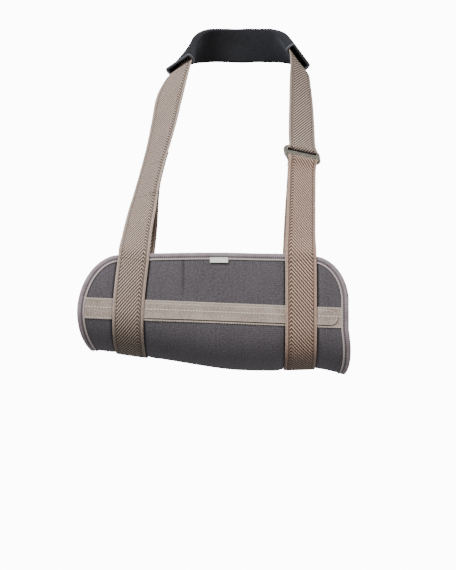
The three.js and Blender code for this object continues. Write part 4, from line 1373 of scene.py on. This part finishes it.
# Sewn rows: along the tape, where each strap crosses the top binding, and at the strap's sewn end
tape_stitches = make_stitches("tape_stitches", *tape_row(), 2.4, 1.3)
dress(tape_stitches, pale_thread, "tape_weave")
left_top = front_place(left_ribbon, TOP_Z - 6.5)
right_top = front_place(right_ribbon, TOP_Z - 7.5)
left_row = cross_row(left_ribbon, left_top, 0, CROSS_STITCH_PITCH, -18, 18)
right_row = cross_row(right_ribbon, right_top, 0.08, CROSS_STITCH_PITCH, -18, 18)
joint_low = front_place(left_ribbon, JOINT_LOW_Z)
joint_high = front_place(left_ribbon, JOINT_HIGH_Z)
joint_rows = [
    cross_row(left_ribbon, joint_low, 0, CROSS_STITCH_PITCH, -18, 18),
    cross_row(left_ribbon, joint_low + 3, 0, 1.8, 6, 18),
    cross_row(left_ribbon, joint_low - 3, 0, 1.8, 8, 17),
    cross_row(left_ribbon, joint_high, 0, CROSS_STITCH_PITCH, -4, 16),
]
left_stitches = make_stitches("left_top_stitches", *left_row, 1.5, 0.7)
dress(left_stitches, dark_thread, "webbing_weave")
right_stitches = make_stitches("right_top_stitches", *right_row, 1.5, 0.7)
dress(right_stitches, dark_thread, "webbing_weave")
rows = [np.concatenate(part) for part in zip(*joint_rows)]
joint_stitches = make_stitches("joint_stitches", *rows, 1.4, 0.7)
dress(joint_stitches, dark_thread, "webbing_weave")

# The tape's length from end to end, in metres, worked out and not kept
(tape_ends()[1] - tape_ends()[0]) * MM


# Studio

def area_light(name, place, aim, size, power, color=(1, 1, 1)):
    data = bpy.data.lights.new(name, "AREA")
    data.shape = "DISK"
    data.size = size
    data.energy = power
    data.color = color
    light = bpy.data.objects.new(name, data)
    light.location = place
    light.rotation_euler = (Vector(aim) - Vector(place)).to_track_quat("-Z", "Y").to_euler()
    bpy.context.scene.collection.objects.link(light)


def make_studio():
    world = bpy.data.worlds.new("studio")
    world.use_nodes = True
    nodes = Nodes(world.node_tree)
    seen = world.node_tree.nodes["Background"]
    seen.inputs["Color"].default_value = (1, 1, 1, 1)
    seen.inputs["Strength"].default_value = 12
    lit = nodes.add("ShaderNodeBackground")
    lit.inputs["Color"].default_value = (0.96, 0.98, 1, 1)
    lit.inputs["Strength"].default_value = 0.13
    choice = nodes.add("ShaderNodeMixShader")
    nodes.link(nodes.add("ShaderNodeLightPath").outputs["Is Camera Ray"], choice.inputs[0])
    nodes.link(lit.outputs[0], choice.inputs[1])
    nodes.link(seen.outputs[0], choice.inputs[2])
    nodes.link(choice.outputs[0], world.node_tree.nodes["World Output"].inputs["Surface"])
    bpy.context.scene.world = world
    bpy.ops.mesh.primitive_plane_add(size=6, location=(0, 0, -1.45))
    floor = bpy.context.object
    floor.name = "floor"
    pale = bpy.data.materials.new("pale_floor")
    pale.use_nodes = True
    shader = pale.node_tree.nodes["Principled BSDF"]
    shader.inputs["Base Color"].default_value = (0.55, 0.55, 0.55, 1)
    shader.inputs["Roughness"].default_value = 0.9
    floor.data.materials.append(pale)
    middle = (-0.03, -0.2, -0.3)
    area_light("key", (-1.25, -1.55, 1.5), middle, 1.2, 96, (0.98, 0.99, 1.0))
    area_light("fill", (1.4, -1.9, 0.7), middle, 1.6, 30, (1.0, 0.92, 0.86))
    area_light("top", (0.1, 0.5, 1.7), middle, 1.2, 8)


def make_camera():
    data = bpy.data.cameras.new("camera")
    data.sensor_fit = "VERTICAL"
    data.sensor_height = 36
    distance = 1.8
    picture_height = 570 * 1.21 * MM
    data.lens = 36 * distance / picture_height
    camera = bpy.data.objects.new("camera", data)
    camera.location = (-0.0177, -0.28 - distance, -0.335)
    camera.rotation_euler = (math.pi / 2, 0, 0)
    bpy.context.scene.collection.objects.link(camera)
    bpy.context.scene.camera = camera


make_studio()
make_camera()
